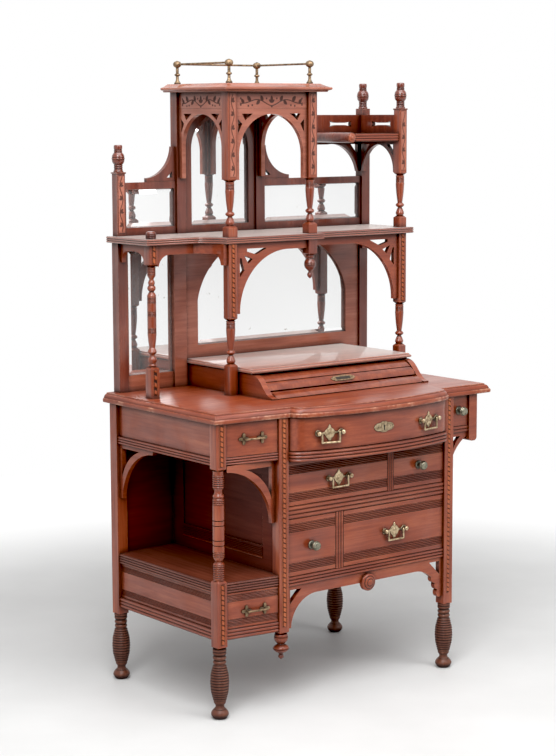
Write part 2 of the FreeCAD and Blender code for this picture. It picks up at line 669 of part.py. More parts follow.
# Panels of the carcass
post_back = f"({post_rear} + {half_post})"
partition_recess = block(
    "partition_recess", (f"{partition_left} - overrun", f"{partition_left} + recess_depth"),
    (f"{front_inner} + recess_stile", f"{back_inner} - recess_stile"),
    (f"{bay_shelf_top} + recess_rail", f"{frieze_rail_under} - recess_stile"))
node("carcass_panels", [
    cut("partition", block("partition_blank", (partition_left, partition_right), (front_inner, post_back),
                           ("plinth_underside", "desk_underside")), partition_recess),
    block("right_side", (side_panel_left, f"{post_right} + panel_thickness / 2"), (front_inner, rear_inner),
          (bay_underside, "desk_underside")),
    block("open_bay_back", (open_left, partition_left), (back_inner, back_outer),
          ("plinth_underside", "desk_underside")),
    block("drawer_bay_back", (partition_right, f"{post_right} - {half_post}"), (back_inner, back_outer),
          (bay_underside, "desk_underside")),
])
side_panel_x = (f"{post_left} - side_panel_thickness / 2", f"{post_left} + side_panel_thickness / 2")
side_panel_y = (f"{post_corner} + {half_post}", rear_inner)
node("left_side_panels", [
    block("frieze_panel", side_panel_x, side_panel_y, (frieze_floor, "desk_underside")),
    block("plinth_panel", side_panel_x, side_panel_y, (plinth_floor, plinth_top)),
])
shelf_left = f"({post_left} - side_rail_depth / 2)"
bay_shelf = slab("bay_shelf", "XY", "bay_shelf_thickness", [
    (shelf_left, rear_inner), (shelf_left, f"{post_corner} + {half_post}"),
    (open_left, f"{post_corner} + {half_post}"),
    (open_left, corner_rail_face), (open_right, rail_face), (open_right, front_inner),
    (partition_left, front_inner), (partition_left, back_inner), (open_left, back_inner),
    (open_left, rear_inner),
])
node("left_bay_shelf", [put(bay_shelf, z=plinth_top)])


# Curved open brackets
def open_bracket(name, plane, reach, drop, strip):
    """A hollow bracket in the corner at the origin: along the rail to reach, down the post to drop. The
    sign of reach gives its side, and strip is its depth at the far end."""
    side = -1 if reach.startswith("-") else 1
    width = reach.lstrip("-")
    arc_share, hole_share, hole_reach_share = -0.19 * side, -0.13 * side, 0.62
    outer = [
        ("0", "0"), ("0", f"-({drop})"), (f"{side} * bracket_leg", f"-({drop})", arc_share),
        (f"{side} * ({width})", f"-{strip}"), (f"{side} * ({width})", "0"),
    ]
    hole = [
        (f"{side} * bracket_leg", f"-{strip}"),
        (f"{side} * bracket_leg", f"-({drop}) * {hole_reach_share}", hole_share),
        (f"{side} * ({width}) * {hole_reach_share}", f"-{strip}"),
    ]
    return slab(name, plane, "bracket_thickness", outer, hole)


side_bracket = open_bracket("side_bracket", "YZ", "-side_bracket_reach", "side_bracket_drop", "bracket_leg")
put(side_bracket, f"{post_left} - bracket_thickness / 2", rear_inner, frieze_rail_under)
front_bracket = open_bracket("front_bracket", "XZ", f"-({between(open_left, open_right)})",
                             "front_bracket_drop",
                             "front_bracket_strip")
put(front_bracket, open_right, front_inner, frieze_rail_under)
brace = open_bracket("brace", "XZ", between(cantilever_left, drop_left), "brace_drop", "bracket_leg")
put(brace, cantilever_left, f"{drop_front} + bracket_thickness / 2", cantilever_rail_under)
node("curved_brackets", [side_bracket, front_bracket, brace])

# Apron of the drawer bay with its rosette
bay_middle = f"(({bay_left} + {bay_right}) / 2)"
apron_low = "-apron_height"
arc_in = "(apron_leg_width + apron_arc)"
apron_corner_share = 0.2
# The right corner is a cove down to its middle, then three scallops, set out as shares of the corner
half_corner_share = 0.096
scallop_share = 0.25
scallop_places = [(0.695, 0.295), (0.855, 0.50), (0.958, 0.744)]


def apron_hole(side, edge):
    """A pierced corner beside one post."""
    inner = f"{edge} + {side} * apron_hole_margin"
    return [
        (inner, "-apron_hole_margin"),
        (inner, "-apron_hole_margin - apron_hole"),
        (f"{inner} + {side} * apron_hole", "-apron_hole_margin"),
    ]


apron_width = between(bay_left, bay_right)
arc_out = f"({apron_width} - {arc_in})"
scallops = [
    (f"{arc_out} + apron_arc * {x}", f"{apron_low} - (apron_leg - apron_height) * {z}", scallop_share)
    for x, z in scallop_places
]
apron = slab("apron", "XZ", "apron_thickness", [
    ("0", "0"), ("0", "-apron_leg"), ("apron_leg_width", "-apron_leg", -apron_corner_share),
    (arc_in, apron_low), (arc_out, apron_low, -half_corner_share), *scallops,
    (f"{apron_width} - apron_leg_width", "-apron_leg"), (apron_width, "-apron_leg"), (apron_width, "0"),
], apron_hole(1, "0"), apron_hole(-1, f"({apron_width})"))
apron_back = f"({rail_face} + apron_thickness + rail_recess)"
node("bay_apron", [put(apron, bay_left, apron_back, bay_underside)])
ROSETTE_SHARES = [(0.0, 1.0, 0), (0.55, 1.0, 0.3), (0.8, 0.7, 0), (0.6, 0.55, 0.3), (0.7, 0.3, 0.25),
                  (0.95, 0.08, 0)]
rosette = turned("rosette", "rosette_diameter", "rosette_thickness", ROSETTE_SHARES)
rosette.Placement = FreeCAD.Placement(FreeCAD.Vector(), FreeCAD.Rotation(AXIS_X, 90))
put(rosette, bay_middle, f"{apron_back} - apron_thickness", f"{bay_underside} - apron_height")
node("apron_rosette", [rosette])

# Cantilevered case at the right
drop_under = "(desk_underside - drop_post_height)"


def drop_post(name, y):
    """A short square post with a rounded foot."""
    low_round = f"({drop_under} + drop_post_round)"
    outline = [
        (f"-{half_drop}", "desk_underside"), (f"-{half_drop}", low_round, QUARTER_BULGE_SHARE),
        (f"-{half_drop} + drop_post_round", drop_under),
        (f"{half_drop} - drop_post_round", drop_under, QUARTER_BULGE_SHARE),
        (half_drop, low_round), (half_drop, "desk_underside"),
    ]
    return put(slab(name, "XZ", "drop_post_side", outline), drop_x, f"{y} + {half_drop}")


node("cantilever_case", [
    drop_post("front_drop_post", drop_front),
    drop_post("rear_drop_post", rear_drop),
    block("cantilever_side", (cantilever_side, f"{drop_x} + side_panel_thickness / 2"),
          (drop_inner, rear_drop_face), (cantilever_rail_under, "desk_underside")),
    block("cantilever_back", (cantilever_left, drop_left),
          (rear_drop_face, f"{rear_drop_face} + back_thickness"),
          (cantilever_rail_under, "desk_underside")),
])


# Drawers
def drawer_front(name, x, z, face, banded):
    """A flat drawer front, with a recessed band above and below where it is reeded."""
    low, high = z
    rear = f"({face} + front_thickness)"
    section = [(rear, low), (rear, high), (face, high)]
    if banded:
        for start in (f"{high} - band_margin", f"{low} + band_margin + band_height"):
            section += [
                (face, start), (f"{face} + band_depth", start),
                (f"{face} + band_depth", f"{start} - band_height"), (face, f"{start} - band_height"),
            ]
    section.append((face, low))
    front = slab(name, "YZ", between(*x), section)
    return put(front, x[0])


def drawer_box(name, x, y, z):
    """Sides, back and bottom of a drawer box, as four boards."""
    left, right = x
    front, rear = y
    low, high = z
    inner_left = f"{left} + box_wall"
    inner_right = f"{right} - box_wall"
    return [
        block(name + "_left", (left, inner_left), y, z),
        block(name + "_right", (inner_right, right), y, z),
        block(name + "_back", (inner_left, inner_right), (f"{rear} - box_wall", rear), z),
        block(name + "_bottom", (inner_left, inner_right), (front, f"{rear} - box_wall"),
              (low, f"{low} + box_bottom")),
    ]


def drawer(name, x, z, face, banded, rear):
    """One flat fronted drawer in the opening x by z, with its face at face."""
    gap_x = (f"{x[0]} + drawer_gap", f"{x[1]} - drawer_gap")
    gap_z = (f"{z[0]} + drawer_gap", f"{z[1]} - drawer_gap")
    node(name + "_front", [drawer_front(name + "_face", gap_x, gap_z, face, banded)])
    box_x = (f"{x[0]} + box_gap", f"{x[1]} - box_gap")
    box_z = (f"{z[0]} + slide_gap", f"{z[1]} - box_drop")
    node(name + "_box", drawer_box(name, box_x, (f"{face} + front_thickness", rear), box_z))


drawer_face = f"({rail_face} + front_recess)"
drawer_rear = f"({back_inner} - back_gap)"
second_split = (f"({second_divider} - second_divider_width / 2)",
                f"({second_divider} + second_divider_width / 2)")
third_split = (f"({third_divider} - third_divider_width / 2)", f"({third_divider} + third_divider_width / 2)")
second_z = (second_floor, second_top)
third_z = (third_floor, third_top)
drawer("second_wide_drawer", (bay_left, second_split[0]), second_z, drawer_face, True, drawer_rear)
drawer("second_small_drawer", (second_split[1], bay_right), second_z, drawer_face, True, drawer_rear)
drawer("third_small_drawer", (bay_left, third_split[0]), third_z, drawer_face, True, drawer_rear)
drawer("third_wide_drawer", (third_split[1], bay_right), third_z, drawer_face, True, drawer_rear)
cantilever_face = f"({drop_face} + rail_recess + front_recess)"
cantilever_rear = f"({rear_drop_face} - back_gap)"
drawer("cantilever_drawer", (cantilever_left, drop_left), (frieze_floor, "desk_underside"), cantilever_face,
       False,
       cantilever_rear)


def canted_drawer(name, low, high):
    """A drawer of the open bay, with a canted front."""
    left = f"({open_left} + drawer_gap)"
    right = f"({open_right} - drawer_gap)"
    left_face = f"({corner_rail_face} + front_recess)"
    right_face = f"({rail_face} + front_recess)"
    outline = [
        (left, f"{left_face} + front_thickness"), (left, left_face), (right, right_face),
        (right, f"{right_face} + front_thickness"),
    ]
    front = slab(name + "_face", "XY", f"({between(low, high)}) - 2 * drawer_gap", outline)
    node(name + "_front", [put(front, z=f"{low} + drawer_gap")])
    box_x = (f"{open_left} + box_gap", f"{open_right} - box_gap")
    box_y = (f"{left_face} + front_thickness", drawer_rear)
    node(name + "_box", drawer_box(name, box_x, box_y, (f"{low} + slide_gap", f"{high} - box_drop")))


canted_drawer("upper_left_drawer", frieze_floor, "desk_underside")
canted_drawer("lower_left_drawer", plinth_floor, plinth_top)

# Bow fronted drawer
bow_left = f"({bay_left} + drawer_gap)"
bow_right = f"({bay_right} - drawer_gap)"
bow_low = f"({bow_floor} + drawer_gap)"
bow_inner_setback = "(bow_drawer_setback + front_thickness)"
outer_bow = bow_front("bow_drawer_setback", bow_left, bow_right)
inner_shoulder = f"({bow_apex} + {bow_inner_setback} + bow_rise)"
bow_start = f"({inner_shoulder} + bow_shoulder)"
inner_left = f"({bow_left} + bow_shoulder)"
inner_right = f"({bow_right} - bow_shoulder)"
bow_bulge = f"(bow_rise / ({inner_right} - {inner_left}))"
bow_face = slab("bow_face", "XY", f"desk_underside - drawer_gap - {bow_low}", [
    *outer_bow, (bow_right, bow_start), (inner_right, bow_start),
    (inner_right, inner_shoulder, f"-{bow_bulge}"),
    (inner_left, inner_shoulder), (inner_left, bow_start), (bow_left, bow_start),
])
node("bow_drawer_front", [put(bow_face, z=bow_low)])
bow_box_x = (f"{bow_left} + box_gap", f"{bow_right} - box_gap")
bow_box_z = (f"({bow_floor} + slide_gap)", "desk_underside - box_drop")
bow_box = drawer_box("bow_box", bow_box_x, (bow_start, drawer_rear), bow_box_z)
bow_bottom_board = slab("bow_bottom_bow", "XY", "box_bottom", [
    (inner_left, bow_start), (inner_left, inner_shoulder, bow_bulge), (inner_right, inner_shoulder),
    (inner_right, bow_start),
])
node("bow_drawer_box", bow_box + [put(bow_bottom_board, z=bow_box_z[0])])


# Handles
def place_on_front(thing, x, y, z, turn=None):
    """Set a handle, made at the origin and facing front, on its drawer."""
    if turn is not None:
        thing.Placement = FreeCAD.Placement(FreeCAD.Vector(), FreeCAD.Rotation(FreeCAD.Vector(0, 0, 1), 0))
        thing.setExpression("Placement.Rotation.Angle", link(turn))
    return put(thing, x, y, z)


PIN_REACH_SHARE = 0.6
pin_y = f"(-pull_plate - pull_post_length * {PIN_REACH_SHARE})"


def pull_plate(name):
    """A bat-wing plate with its two bail posts, cross bored for the bail's pins."""
    half = "(pull_width / 2)"
    up = "(pull_height / 2)"
    right_shares = [(0.0, 1.0), (0.12, 0.62), (0.32, 0.14), (0.68, 0.20), (0.70, 0.46), (1.0, 0.46),
                    (1.0, -0.40),
                    (0.70, -0.40), (0.68, -0.16), (0.38, -0.20), (0.24, -0.60), (0.08, -1.0)]
    right = [(f"{half} * {x}", f"{up} * {z}") for x, z in right_shares]
    left = [(f"-({x})", y) for x, y in reversed(right[1:])]
    plate = slab(name + "_back", "XZ", "pull_plate", right + left)
    posts = []
    for side in (-1, 1):
        post = rod(name + "_post_%d" % (side + 1), "pull_post_diameter", "pull_post_length", AXIS_X, 90)
        posts.append(put(post, f"{side} * pull_post_spacing / 2", "-pull_plate", "bail_rise"))
    bore = rod(name + "_bore", "bail_pin_diameter + 2 * bail_pin_gap", "pull_width", AXIS_Y, 90)
    put(bore, "-pull_width / 2", pin_y, "bail_rise")
    return cut(name, fuse(name + "_whole", [plate] + posts), bore)


def bail(name):
    """A swinging handle: a bent rod with a pin at each end that turns in the plate's posts."""
    reach = "(pull_post_spacing / 2 - pull_post_diameter / 2 - bail_side_gap - bail_rod / 2)"
    pieces = []
    for side in (-1, 1):
        arm = doc.addObject("Part::Cylinder", name + "_arm_%d" % (side + 1))
        bind(arm, Radius="bail_rod / 2", Height="bail_drop")
        pieces.append(put(arm, f"{side} * {reach}", pin_y, "bail_rise - bail_drop"))
        pin = rod(name + "_pin_%d" % (side + 1), "bail_pin_diameter",
                  f"pull_post_spacing / 2 + pull_post_diameter / 4 - {reach}", AXIS_Y, 90 * side)
        pieces.append(put(pin, f"{side} * {reach}", pin_y, "bail_rise"))
        for level, height in (("top", "bail_rise"), ("foot", "bail_rise - bail_drop")):
            ball = doc.addObject("Part::Sphere", name + "_%s_%d" % (level, side + 1))
            bind(ball, Radius="bail_rod / 2")
            pieces.append(put(ball, f"{side} * {reach}", pin_y, height))
    bar = rod(name + "_bar", "bail_rod", f"2 * {reach}", AXIS_Y, 90)
    pieces.append(put(bar, f"-{reach}", pin_y, "bail_rise - bail_drop"))
    return fuse(name, pieces)


def knob(name):
    shares = [(0.0, 0.95, 0.1), (0.12, 0.80, 0), (0.16, 0.42, 0), (0.50, 0.38, 0), (0.58, 0.92, 0.25),
              (0.80, 0.96, 0.22), (1.0, 0.45, 0)]
    turning = turned(name, "knob_diameter", "knob_length", shares)
    turning.Placement = FreeCAD.Placement(FreeCAD.Vector(), FreeCAD.Rotation(AXIS_X, 90))
    return turning


def bar_pull(name):
    """Two cross shaped rosettes on short stems that hold a straight bar."""
    pieces = []
    third = "(bar_rosette_diameter / 6)"
    end = "(bar_rosette_diameter / 2)"
    lobe_share = 0.4
    outline = [
        (end, f"-{third}", lobe_share), (end, third), (third, third), (third, end, lobe_share),
        (f"-{third}", end),
        (f"-{third}", third), (f"-{end}", third, lobe_share), (f"-{end}", f"-{third}"),
        (f"-{third}", f"-{third}"),
        (f"-{third}", f"-{end}", lobe_share), (third, f"-{end}"), (third, f"-{third}"),
    ]
    for side in (-1, 1):
        cross = slab(name + "_cross_%d" % (side + 1), "XZ", "bar_rosette_thickness", outline)
        pieces.append(put(cross, f"{side} * bar_spacing / 2"))
        stem = rod(name + "_stem_%d" % (side + 1), "bar_diameter", "bar_standoff + bar_diameter / 2", AXIS_X,
                   90)
        pieces.append(put(stem, f"{side} * bar_spacing / 2"))
    bar = rod(name + "_bar", "bar_diameter", "bar_spacing", AXIS_Y, 90)
    pieces.append(put(bar, "-bar_spacing / 2", "-bar_standoff"))
    return fuse(name, pieces)


bow_radius = f"(({inner_right} - {inner_left})^2 / (8 * bow_rise) + bow_rise / 2)"
bow_middle_z = f"(({bow_floor} + desk_underside) / 2)"
drawer_apex = f"({bow_apex} + bow_drawer_setback)"
pull_offset = f"(({between(bay_left, bay_right)}) / 2 - pull_inset)"
pull_y = f"({drawer_apex} + {bow_radius} - sqrt({bow_radius}^2 - {pull_offset}^2))"


def oval(wide, high, bulge_share):
    """A round or oval outline about the origin."""
    return [(f"-{wide}", "0", bulge_share), ("0", f"-{high}", bulge_share), (wide, "0", bulge_share),
            ("0", high, bulge_share)]


keyhole = "(keyhole_diameter / 2)"
escutcheon = slab("escutcheon", "XZ", "pull_plate",
                  oval("(escutcheon_length / 2)", "(escutcheon_height / 2)", 0.22),
                  oval(keyhole, keyhole, QUARTER_BULGE_SHARE))
put(escutcheon, bay_middle, drawer_apex, bow_middle_z)
bow_plates = []
for side, word in ((-1, "left"), (1, "right")):
    turn = f"{side} * asin({pull_offset} / {bow_radius})"
    spot = (f"{bay_middle} + {side} * {pull_offset}", pull_y, bow_middle_z)
    bow_plates.append(place_on_front(pull_plate("bow_plate_" + word), *spot, turn))
    node("bow_%s_bail" % word, [place_on_front(bail("bow_bail_" + word), *spot, turn)])
node("bow_drawer_fittings", bow_plates + [escutcheon])

for name, x, z in (
    ("second_wide", (bay_left, second_split[0]), second_z),
    ("third_wide", (third_split[1], bay_right), third_z),
):
    spot = (f"({x[0]} + {x[1]}) / 2", drawer_face, f"({z[0]} + {z[1]}) / 2")
    node(name + "_pull", [place_on_front(pull_plate(name + "_plate"), *spot)])
    node(name + "_bail", [place_on_front(bail(name + "_handle"), *spot)])
for name, x, z, face in (
    ("second_small_knob", (second_split[1], bay_right), second_z, drawer_face),
    ("third_small_knob", (bay_left, third_split[0]), third_z, drawer_face),
    ("cantilever_knob", (cantilever_left, drop_left), (frieze_floor, "desk_underside"), cantilever_face),
):
    node(name, [put(knob(name + "_turning"), f"({x[0]} + {x[1]}) / 2", face, f"({z[0]} + {z[1]}) / 2")])
open_middle = f"(({open_left} + {open_right}) / 2)"
canted_face = f"(({corner_rail_face} + {rail_face}) / 2 + front_recess)"
cant_fall = f"(({corner_rail_face} - {rail_face}) / ({between(open_left, open_right)} - 2 * drawer_gap))"
for name, shift, level in (
    ("upper_left_pull", "upper_pull_shift", f"({frieze_floor} + desk_underside) / 2"),
    ("lower_left_pull", "lower_pull_shift", f"({plinth_floor} + {plinth_top}) / 2 - lower_pull_fall"),
):
    node(name, [place_on_front(bar_pull(name + "_bar"), f"{open_middle} + {shift}",
                               f"{canted_face} - {shift} * {cant_fall}",
                               level, f"-atan({cant_fall})")])

# Box on the desk top with its ogee fronted drawer
case_left = f"({left_edge} + stationery_left)"
case_right = f"({right_edge} - stationery_right)"
case_back = frame_front
case_front = f"({case_back} - stationery_depth)"
case_top = f"({desk_surface} + stationery_height)"
case_brow = f"({case_front} + stationery_slope)"
OGEE_SHARES = [(1.0, 1.0, 0.15), (0.50, 0.72, 0), (0.36, 0.24, -0.10), (0.0, 0.0, 0)]


def ogee(front, low, high):
    """The moulded front from its brow to its foot: a round brow, a steep face and a flared foot."""
    rise = f"({between(low, high)})"
    return [(f"{front} + stationery_slope * {y}", f"{low} + {rise} * {z}", bulge) for y, z,
            bulge in OGEE_SHARES]


sides = []
for name, x in (("case_left_side", case_left), ("case_right_side", f"{case_right} - stationery_wall")):
    side = slab(name, "YZ", "stationery_wall", [
        (case_back, desk_surface), (case_back, case_top), *ogee(case_front, desk_surface, case_top)])
    sides.append(put(side, x))
lid = block("case_lid", (f"{case_left} - stationery_lid_overhang", f"{case_right} + stationery_lid_overhang"),
            (f"{case_brow} - stationery_lid_overhang", case_back), (case_top, f"{case_top} + stationery_lid"))
node("box_case", sides + [lid])
inside = (f"{case_left} + stationery_wall", f"{case_right} - stationery_wall")
tray_x = (f"{inside[0]} + drawer_gap", f"{inside[1]} - drawer_gap")
tray_low = f"({desk_surface} + slide_gap)"
tray_high = f"({case_top} - drawer_gap)"
outer_face = f"({case_front} + front_recess)"
brow_y = f"({outer_face} + stationery_slope)"
tray_front = f"({brow_y} + box_wall)"
lip_z = f"({tray_low} + box_bottom)"
face_y = f"({outer_face} + stationery_slope * {(OGEE_SHARES[1][0] + OGEE_SHARES[2][0]) / 2})"
face_z = f"({tray_low} + ({between(tray_low, tray_high)}) * {(OGEE_SHARES[1][1] + OGEE_SHARES[2][1]) / 2})"
face_run = f"(stationery_slope * {OGEE_SHARES[1][0] - OGEE_SHARES[2][0]})"
face_fall = f"(({between(tray_low, tray_high)}) * {OGEE_SHARES[1][1] - OGEE_SHARES[2][1]})"
roll_front = slab("roll_front", "YZ", between(*tray_x), [
    (tray_front, tray_low), (tray_front, lip_z), (f"{face_y} + box_wall / 2", lip_z),
    (f"{face_y} + front_thickness", face_z), (tray_front, f"{tray_high} - box_wall / 2"),
    (tray_front, tray_high),
    *ogee(outer_face, tray_low, tray_high),
])
node("stationery_front", [put(roll_front, tray_x[0])])
tray_box = drawer_box("tray", (f"{inside[0]} + box_gap", f"{inside[1]} - box_gap"),
                      (tray_front, f"{case_back} - back_gap"), (tray_low, f"{tray_high} - box_wall"))
node("stationery_box", tray_box)
pull_x = f"(({case_left} + {case_right}) / 2)"
flush = "(flush_pull_length / 2)"
flush_up = "(flush_pull_height / 2)"
window = "(flush_pull_length / 2 - 2 * flush_pull_border)"
window_up = "(flush_pull_height / 2 - flush_pull_border)"
flush_pull = slab("flush_pull", "XZ", "pull_plate", [
    (f"-{flush}", f"-{flush_up}"), (flush, f"-{flush_up}"), (flush, flush_up), (f"-{flush}", flush_up)], [
    (f"-{window}", f"-{window_up}"), (window, f"-{window_up}"), (window, window_up),
    (f"-{window}", window_up)])
flush_pull.Placement = FreeCAD.Placement(FreeCAD.Vector(), FreeCAD.Rotation(AXIS_X, -1))
flush_pull.setExpression("Placement.Rotation.Angle", link(f"-atan({face_run} / {face_fall})"))
node("stationery_pull", [put(flush_pull, pull_x, face_y, face_z)])

# Posts of the superstructure
left_top = f"({shelf_surface} + left_post_height)"
right_top = f"({shelf_surface} + right_post_height)"
node("tier_posts", [
    square_post("lower_left_post", tier_left, middle_y, desk_surface, "shelf_underside", "tier_side"),
    square_post("lower_right_post", lower_right, middle_y, desk_surface, "shelf_underside", "tier_side"),
    square_post("upper_left_post", tier_left, middle_y, shelf_surface, left_top, "upper_left_side"),
    square_post("upper_right_post", upper_right, middle_y, shelf_surface, right_top, "tier_side"),
    square_post("canopy_left_post", canopy_left, middle_y, shelf_surface, "canopy_underside", "tier_side"),
    square_post("canopy_right_post", canopy_right, middle_y, shelf_surface, "canopy_underside", "tier_side"),
])

# Turned columns
COLUMN_SHARES = [
    (0.00, 0.80, 0.2), (0.08, 0.80, 0), (0.14, 0.50, 0), (0.18, 0.50, 0.15), (0.28, 0.92, 0.2),
    (0.36, 0.50, 0),
    (0.42, 0.62, 0.06), (0.74, 0.86, 0), (0.80, 0.96, 0), (0.86, 0.96, 0), (0.90, 0.80, 0), (1.00, 0.80, 0),
]
LEFT_COLUMN_SHARES = [
    (0.00, 0.80, 0.2), (0.06, 0.80, 0), (0.09, 0.52, 0), (0.13, 0.94, 0.2), (0.19, 0.80, 0), (0.23, 0.86, 0),
    (0.66, 0.86, 0), (0.71, 0.60, 0), (0.74, 0.60, 0.15), (0.82, 0.96, 0.15), (0.89, 0.62, 0),
    (0.92, 0.92, 0),
    (1.00, 0.92, 0),
]
VASE_SHARES = [
    (0.00, 0.84, 0.2), (0.10, 0.60, 0), (0.16, 0.50, 0.1), (0.24, 0.96, 0.2), (0.32, 0.52, 0),
    (0.36, 0.70, 0.06),
    (0.80, 0.94, 0), (0.86, 0.86, 0), (0.93, 0.96, 0), (1.00, 0.96, 0),
]


def column(name, x, y, side, diameter, low, base, turning, high, shares):
    """A base block, a turning and an upper block in one piece."""
    shaft = turned(name + "_turning", diameter, turning, shares)
    put(shaft, x, y, f"{low} + {base}")
    return fuse(name, [
        square_post(name + "_base", x, y, low, f"{low} + {base}", side), shaft,
        square_post(name + "_block", x, y, f"{low} + {base} + {turning}", high, side),
    ])


left_column_y = f"({back} - left_column_reach)"
right_column_y = f"({back} - right_column_reach)"
left_turning = f"(shelf_underside - left_column_block - column_base - {desk_surface})"
lower_stage = (desk_surface, "column_base")
upper_stage = (shelf_surface, "canopy_base_block", "canopy_turning", "canopy_underside", VASE_SHARES)
node("turned_columns", [
    column("left_column", tier_left, left_column_y, "column_side", "column_diameter", *lower_stage,
           left_turning,
           "shelf_underside", LEFT_COLUMN_SHARES),
    column("front_column", canopy_left, canopy_front, "column_side", "column_diameter", *lower_stage,
           "column_turning",
           "shelf_underside", COLUMN_SHARES),
    column("right_column", tier_right, right_column_y, "column_side", "column_diameter", *lower_stage,
           "column_turning",
           "shelf_underside", COLUMN_SHARES),
    column("canopy_column_left", canopy_left, canopy_front, "tier_side", "canopy_turning_diameter",
           *upper_stage),
    column("canopy_column_right", canopy_right, canopy_front, "tier_side", "canopy_turning_diameter",
           *upper_stage),
    column("corner_column", tier_right, right_column_y, "column_side", "canopy_turning_diameter",
           shelf_surface,
           "canopy_base_block", "right_turning", right_top, VASE_SHARES),
])

# Middle shelf: shallow at the left, swept forward under the canopy, stepped back at the right
shelf_w = f"({tier_left} - {half_tier} - shelf_overhang)"
shelf_e = f"({tier_right} + {half_tier} + shelf_overhang)"
canopy_face = f"({canopy_front} - {half_tier})"
shelf_front = f"({canopy_face} - shelf_nose)"
left_front = f"({left_column_y} - column_side / 2 - shelf_lip)"
right_front = f"({right_column_y} - column_side / 2 - shelf_lip)"
step_x = f"({canopy_right} + {half_tier} + shelf_step)"
sweep_end = f"({canopy_left} - {half_tier} - sweep_clearance)"
sweep_start = f"({sweep_end} - shelf_sweep)"
SWEEP_BULGE_SHARE = 0.1
shelf = slab("middle_shelf", "XY", "shelf_thickness", [
    (shelf_w, back), (shelf_w, left_front), (sweep_start, left_front, -SWEEP_BULGE_SHARE),
    (sweep_end, shelf_front), (step_x, shelf_front), (step_x, right_front), (shelf_e, right_front),
    (shelf_e, back),
])
node("mid_shelf", [put(shelf, z="shelf_underside")])

# Mirror frames and plates
lower_left_x = f"({tier_left} + {half_tier})"
lower_right_x = f"({lower_right} - {half_tier})"
upper_right_x = f"({upper_right} - {half_tier})"
upper_left_x = f"({tier_left} + upper_left_side / 2)"
left_mirror_low = f"({desk_surface} + lower_bottom_rail)"
mirror_top = "(shelf_underside - lower_top_rail)"
arch_left = f"({lower_left_x} + arch_mirror_left)"
arch_right = f"({lower_right_x} - arch_mirror_right)"
arch_low = f"({desk_surface} + arch_mirror_sill)"
arch_spring = f"({desk_surface} + arch_mirror_spring)"
crown_left = f"(({arch_left} + {arch_right} - arch_mirror_crown) / 2)"
crown_right = f"(({arch_left} + {arch_right} + arch_mirror_crown) / 2)"
left_mirror_x = (f"{lower_left_x} + lower_frame_margin",
                 f"{lower_left_x} + lower_frame_margin + lower_left_mirror")


def rectangle(x, z):
    return [(x[0], z[0]), (x[1], z[0]), (x[1], z[1]), (x[0], z[1])]


mirror_y = f"({frame_front} + mirror_recess + mirror_thickness)"
plates = []


def framed_mirror(name, outline, opening):
    """A frame around one opening and the plate that fills it."""
    frame = put(slab(name + "_frame", "XZ", "frame_thickness", outline, opening), y=frame_back)
    plates.append(put(slab(name + "_plate", "XZ", "mirror_thickness", opening), y=mirror_y))
    return frame


left_opening = rectangle(left_mirror_x, (left_mirror_low, mirror_top))
ARCH_BULGE_SHARE = 0.14
arch_opening = [
    (arch_left, arch_low), (arch_right, arch_low), (arch_right, arch_spring, ARCH_BULGE_SHARE),
    (crown_right, mirror_top),
    (crown_left, mirror_top, ARCH_BULGE_SHARE), (arch_left, arch_spring),
]
lower_outline = rectangle((lower_left_x, lower_right_x), (desk_surface, "shelf_underside"))
lower_frame = put(slab("lower_frame", "XZ", "frame_thickness", lower_outline, left_opening, arch_opening),
                  y=frame_back)
stile_x = f"({lower_left_x} + stile_left)"
node("lower_mirror_frame", [
    lower_frame,
    block("raised_stile", (stile_x, f"{stile_x} + stile_width"), (tier_front, frame_front),
          (desk_surface, "shelf_underside")),
])
for name, opening in (("lower_left", left_opening), ("lower_arch", arch_opening)):
    plates.append(put(slab(name + "_plate", "XZ", "mirror_thickness", opening), y=mirror_y))

small_low = f"({shelf_surface} + small_mirror_sill)"
small_high = f"({small_low} + small_mirror_height)"
small_top = f"({small_high} + small_mirror_rail)"
canopy_in_left = f"({canopy_left} + {half_tier})"
canopy_in_right = f"({canopy_right} - {half_tier})"
canopy_out_left = f"({canopy_left} - {half_tier})"
canopy_out_right = f"({canopy_right} + {half_tier})"


def small_mirror(name, left, right):
    inner = (f"{left} + small_mirror_margin", f"{right} - small_mirror_margin")
    return framed_mirror(name, rectangle((left, right), (shelf_surface, small_top)),
                         rectangle(inner, (small_low, small_high)))


canopy_mirror_x = (f"({canopy_in_left} + canopy_mirror_margin)",
                   f"({canopy_in_right} - canopy_mirror_margin)")
canopy_spring = f"(canopy_underside - canopy_mirror_crown - ({between(*canopy_mirror_x)}) / 2)"
canopy_opening = [
    (canopy_mirror_x[0], small_low), (canopy_mirror_x[1], small_low),
    (canopy_mirror_x[1], canopy_spring, QUARTER_BULGE_SHARE),
    (f"({canopy_mirror_x[0]} + {canopy_mirror_x[1]}) / 2", "canopy_underside - canopy_mirror_crown",
     QUARTER_BULGE_SHARE),
    (canopy_mirror_x[0], canopy_spring),
]
node("upper_mirror_frames", [
    small_mirror("upper_left", upper_left_x, canopy_out_left),
    small_mirror("upper_right", canopy_out_right, upper_right_x),
    framed_mirror("canopy", rectangle((canopy_in_left, canopy_in_right), (shelf_surface, "canopy_underside")),
                  canopy_opening),
])
node("mirror_plates", plates)


# Aprons and fret brackets under the middle shelf
COVE_SHARE = 0.16


def arched_apron(name, plane, width):
    """An apron with a flat crown between a long cove at the column, where the origin is, and a short one."""
    foot = "(apron_board / 2)"
    land_shares, crown_share = (0.40, 0.80), 0.38
    crown = f"(-apron_drop * {crown_share})"
    return slab(name, plane, "apron_board", [
        ("0", "0"), ("0", "-apron_drop"), (foot, "-apron_drop", -COVE_SHARE),
        (f"({width}) * {land_shares[0]}", crown),
        (f"({width}) * {land_shares[1]}", crown, -COVE_SHARE),
        (f"{width} - {foot}", "-apron_drop"), (width, "-apron_drop"), (width, "0"),
    ])


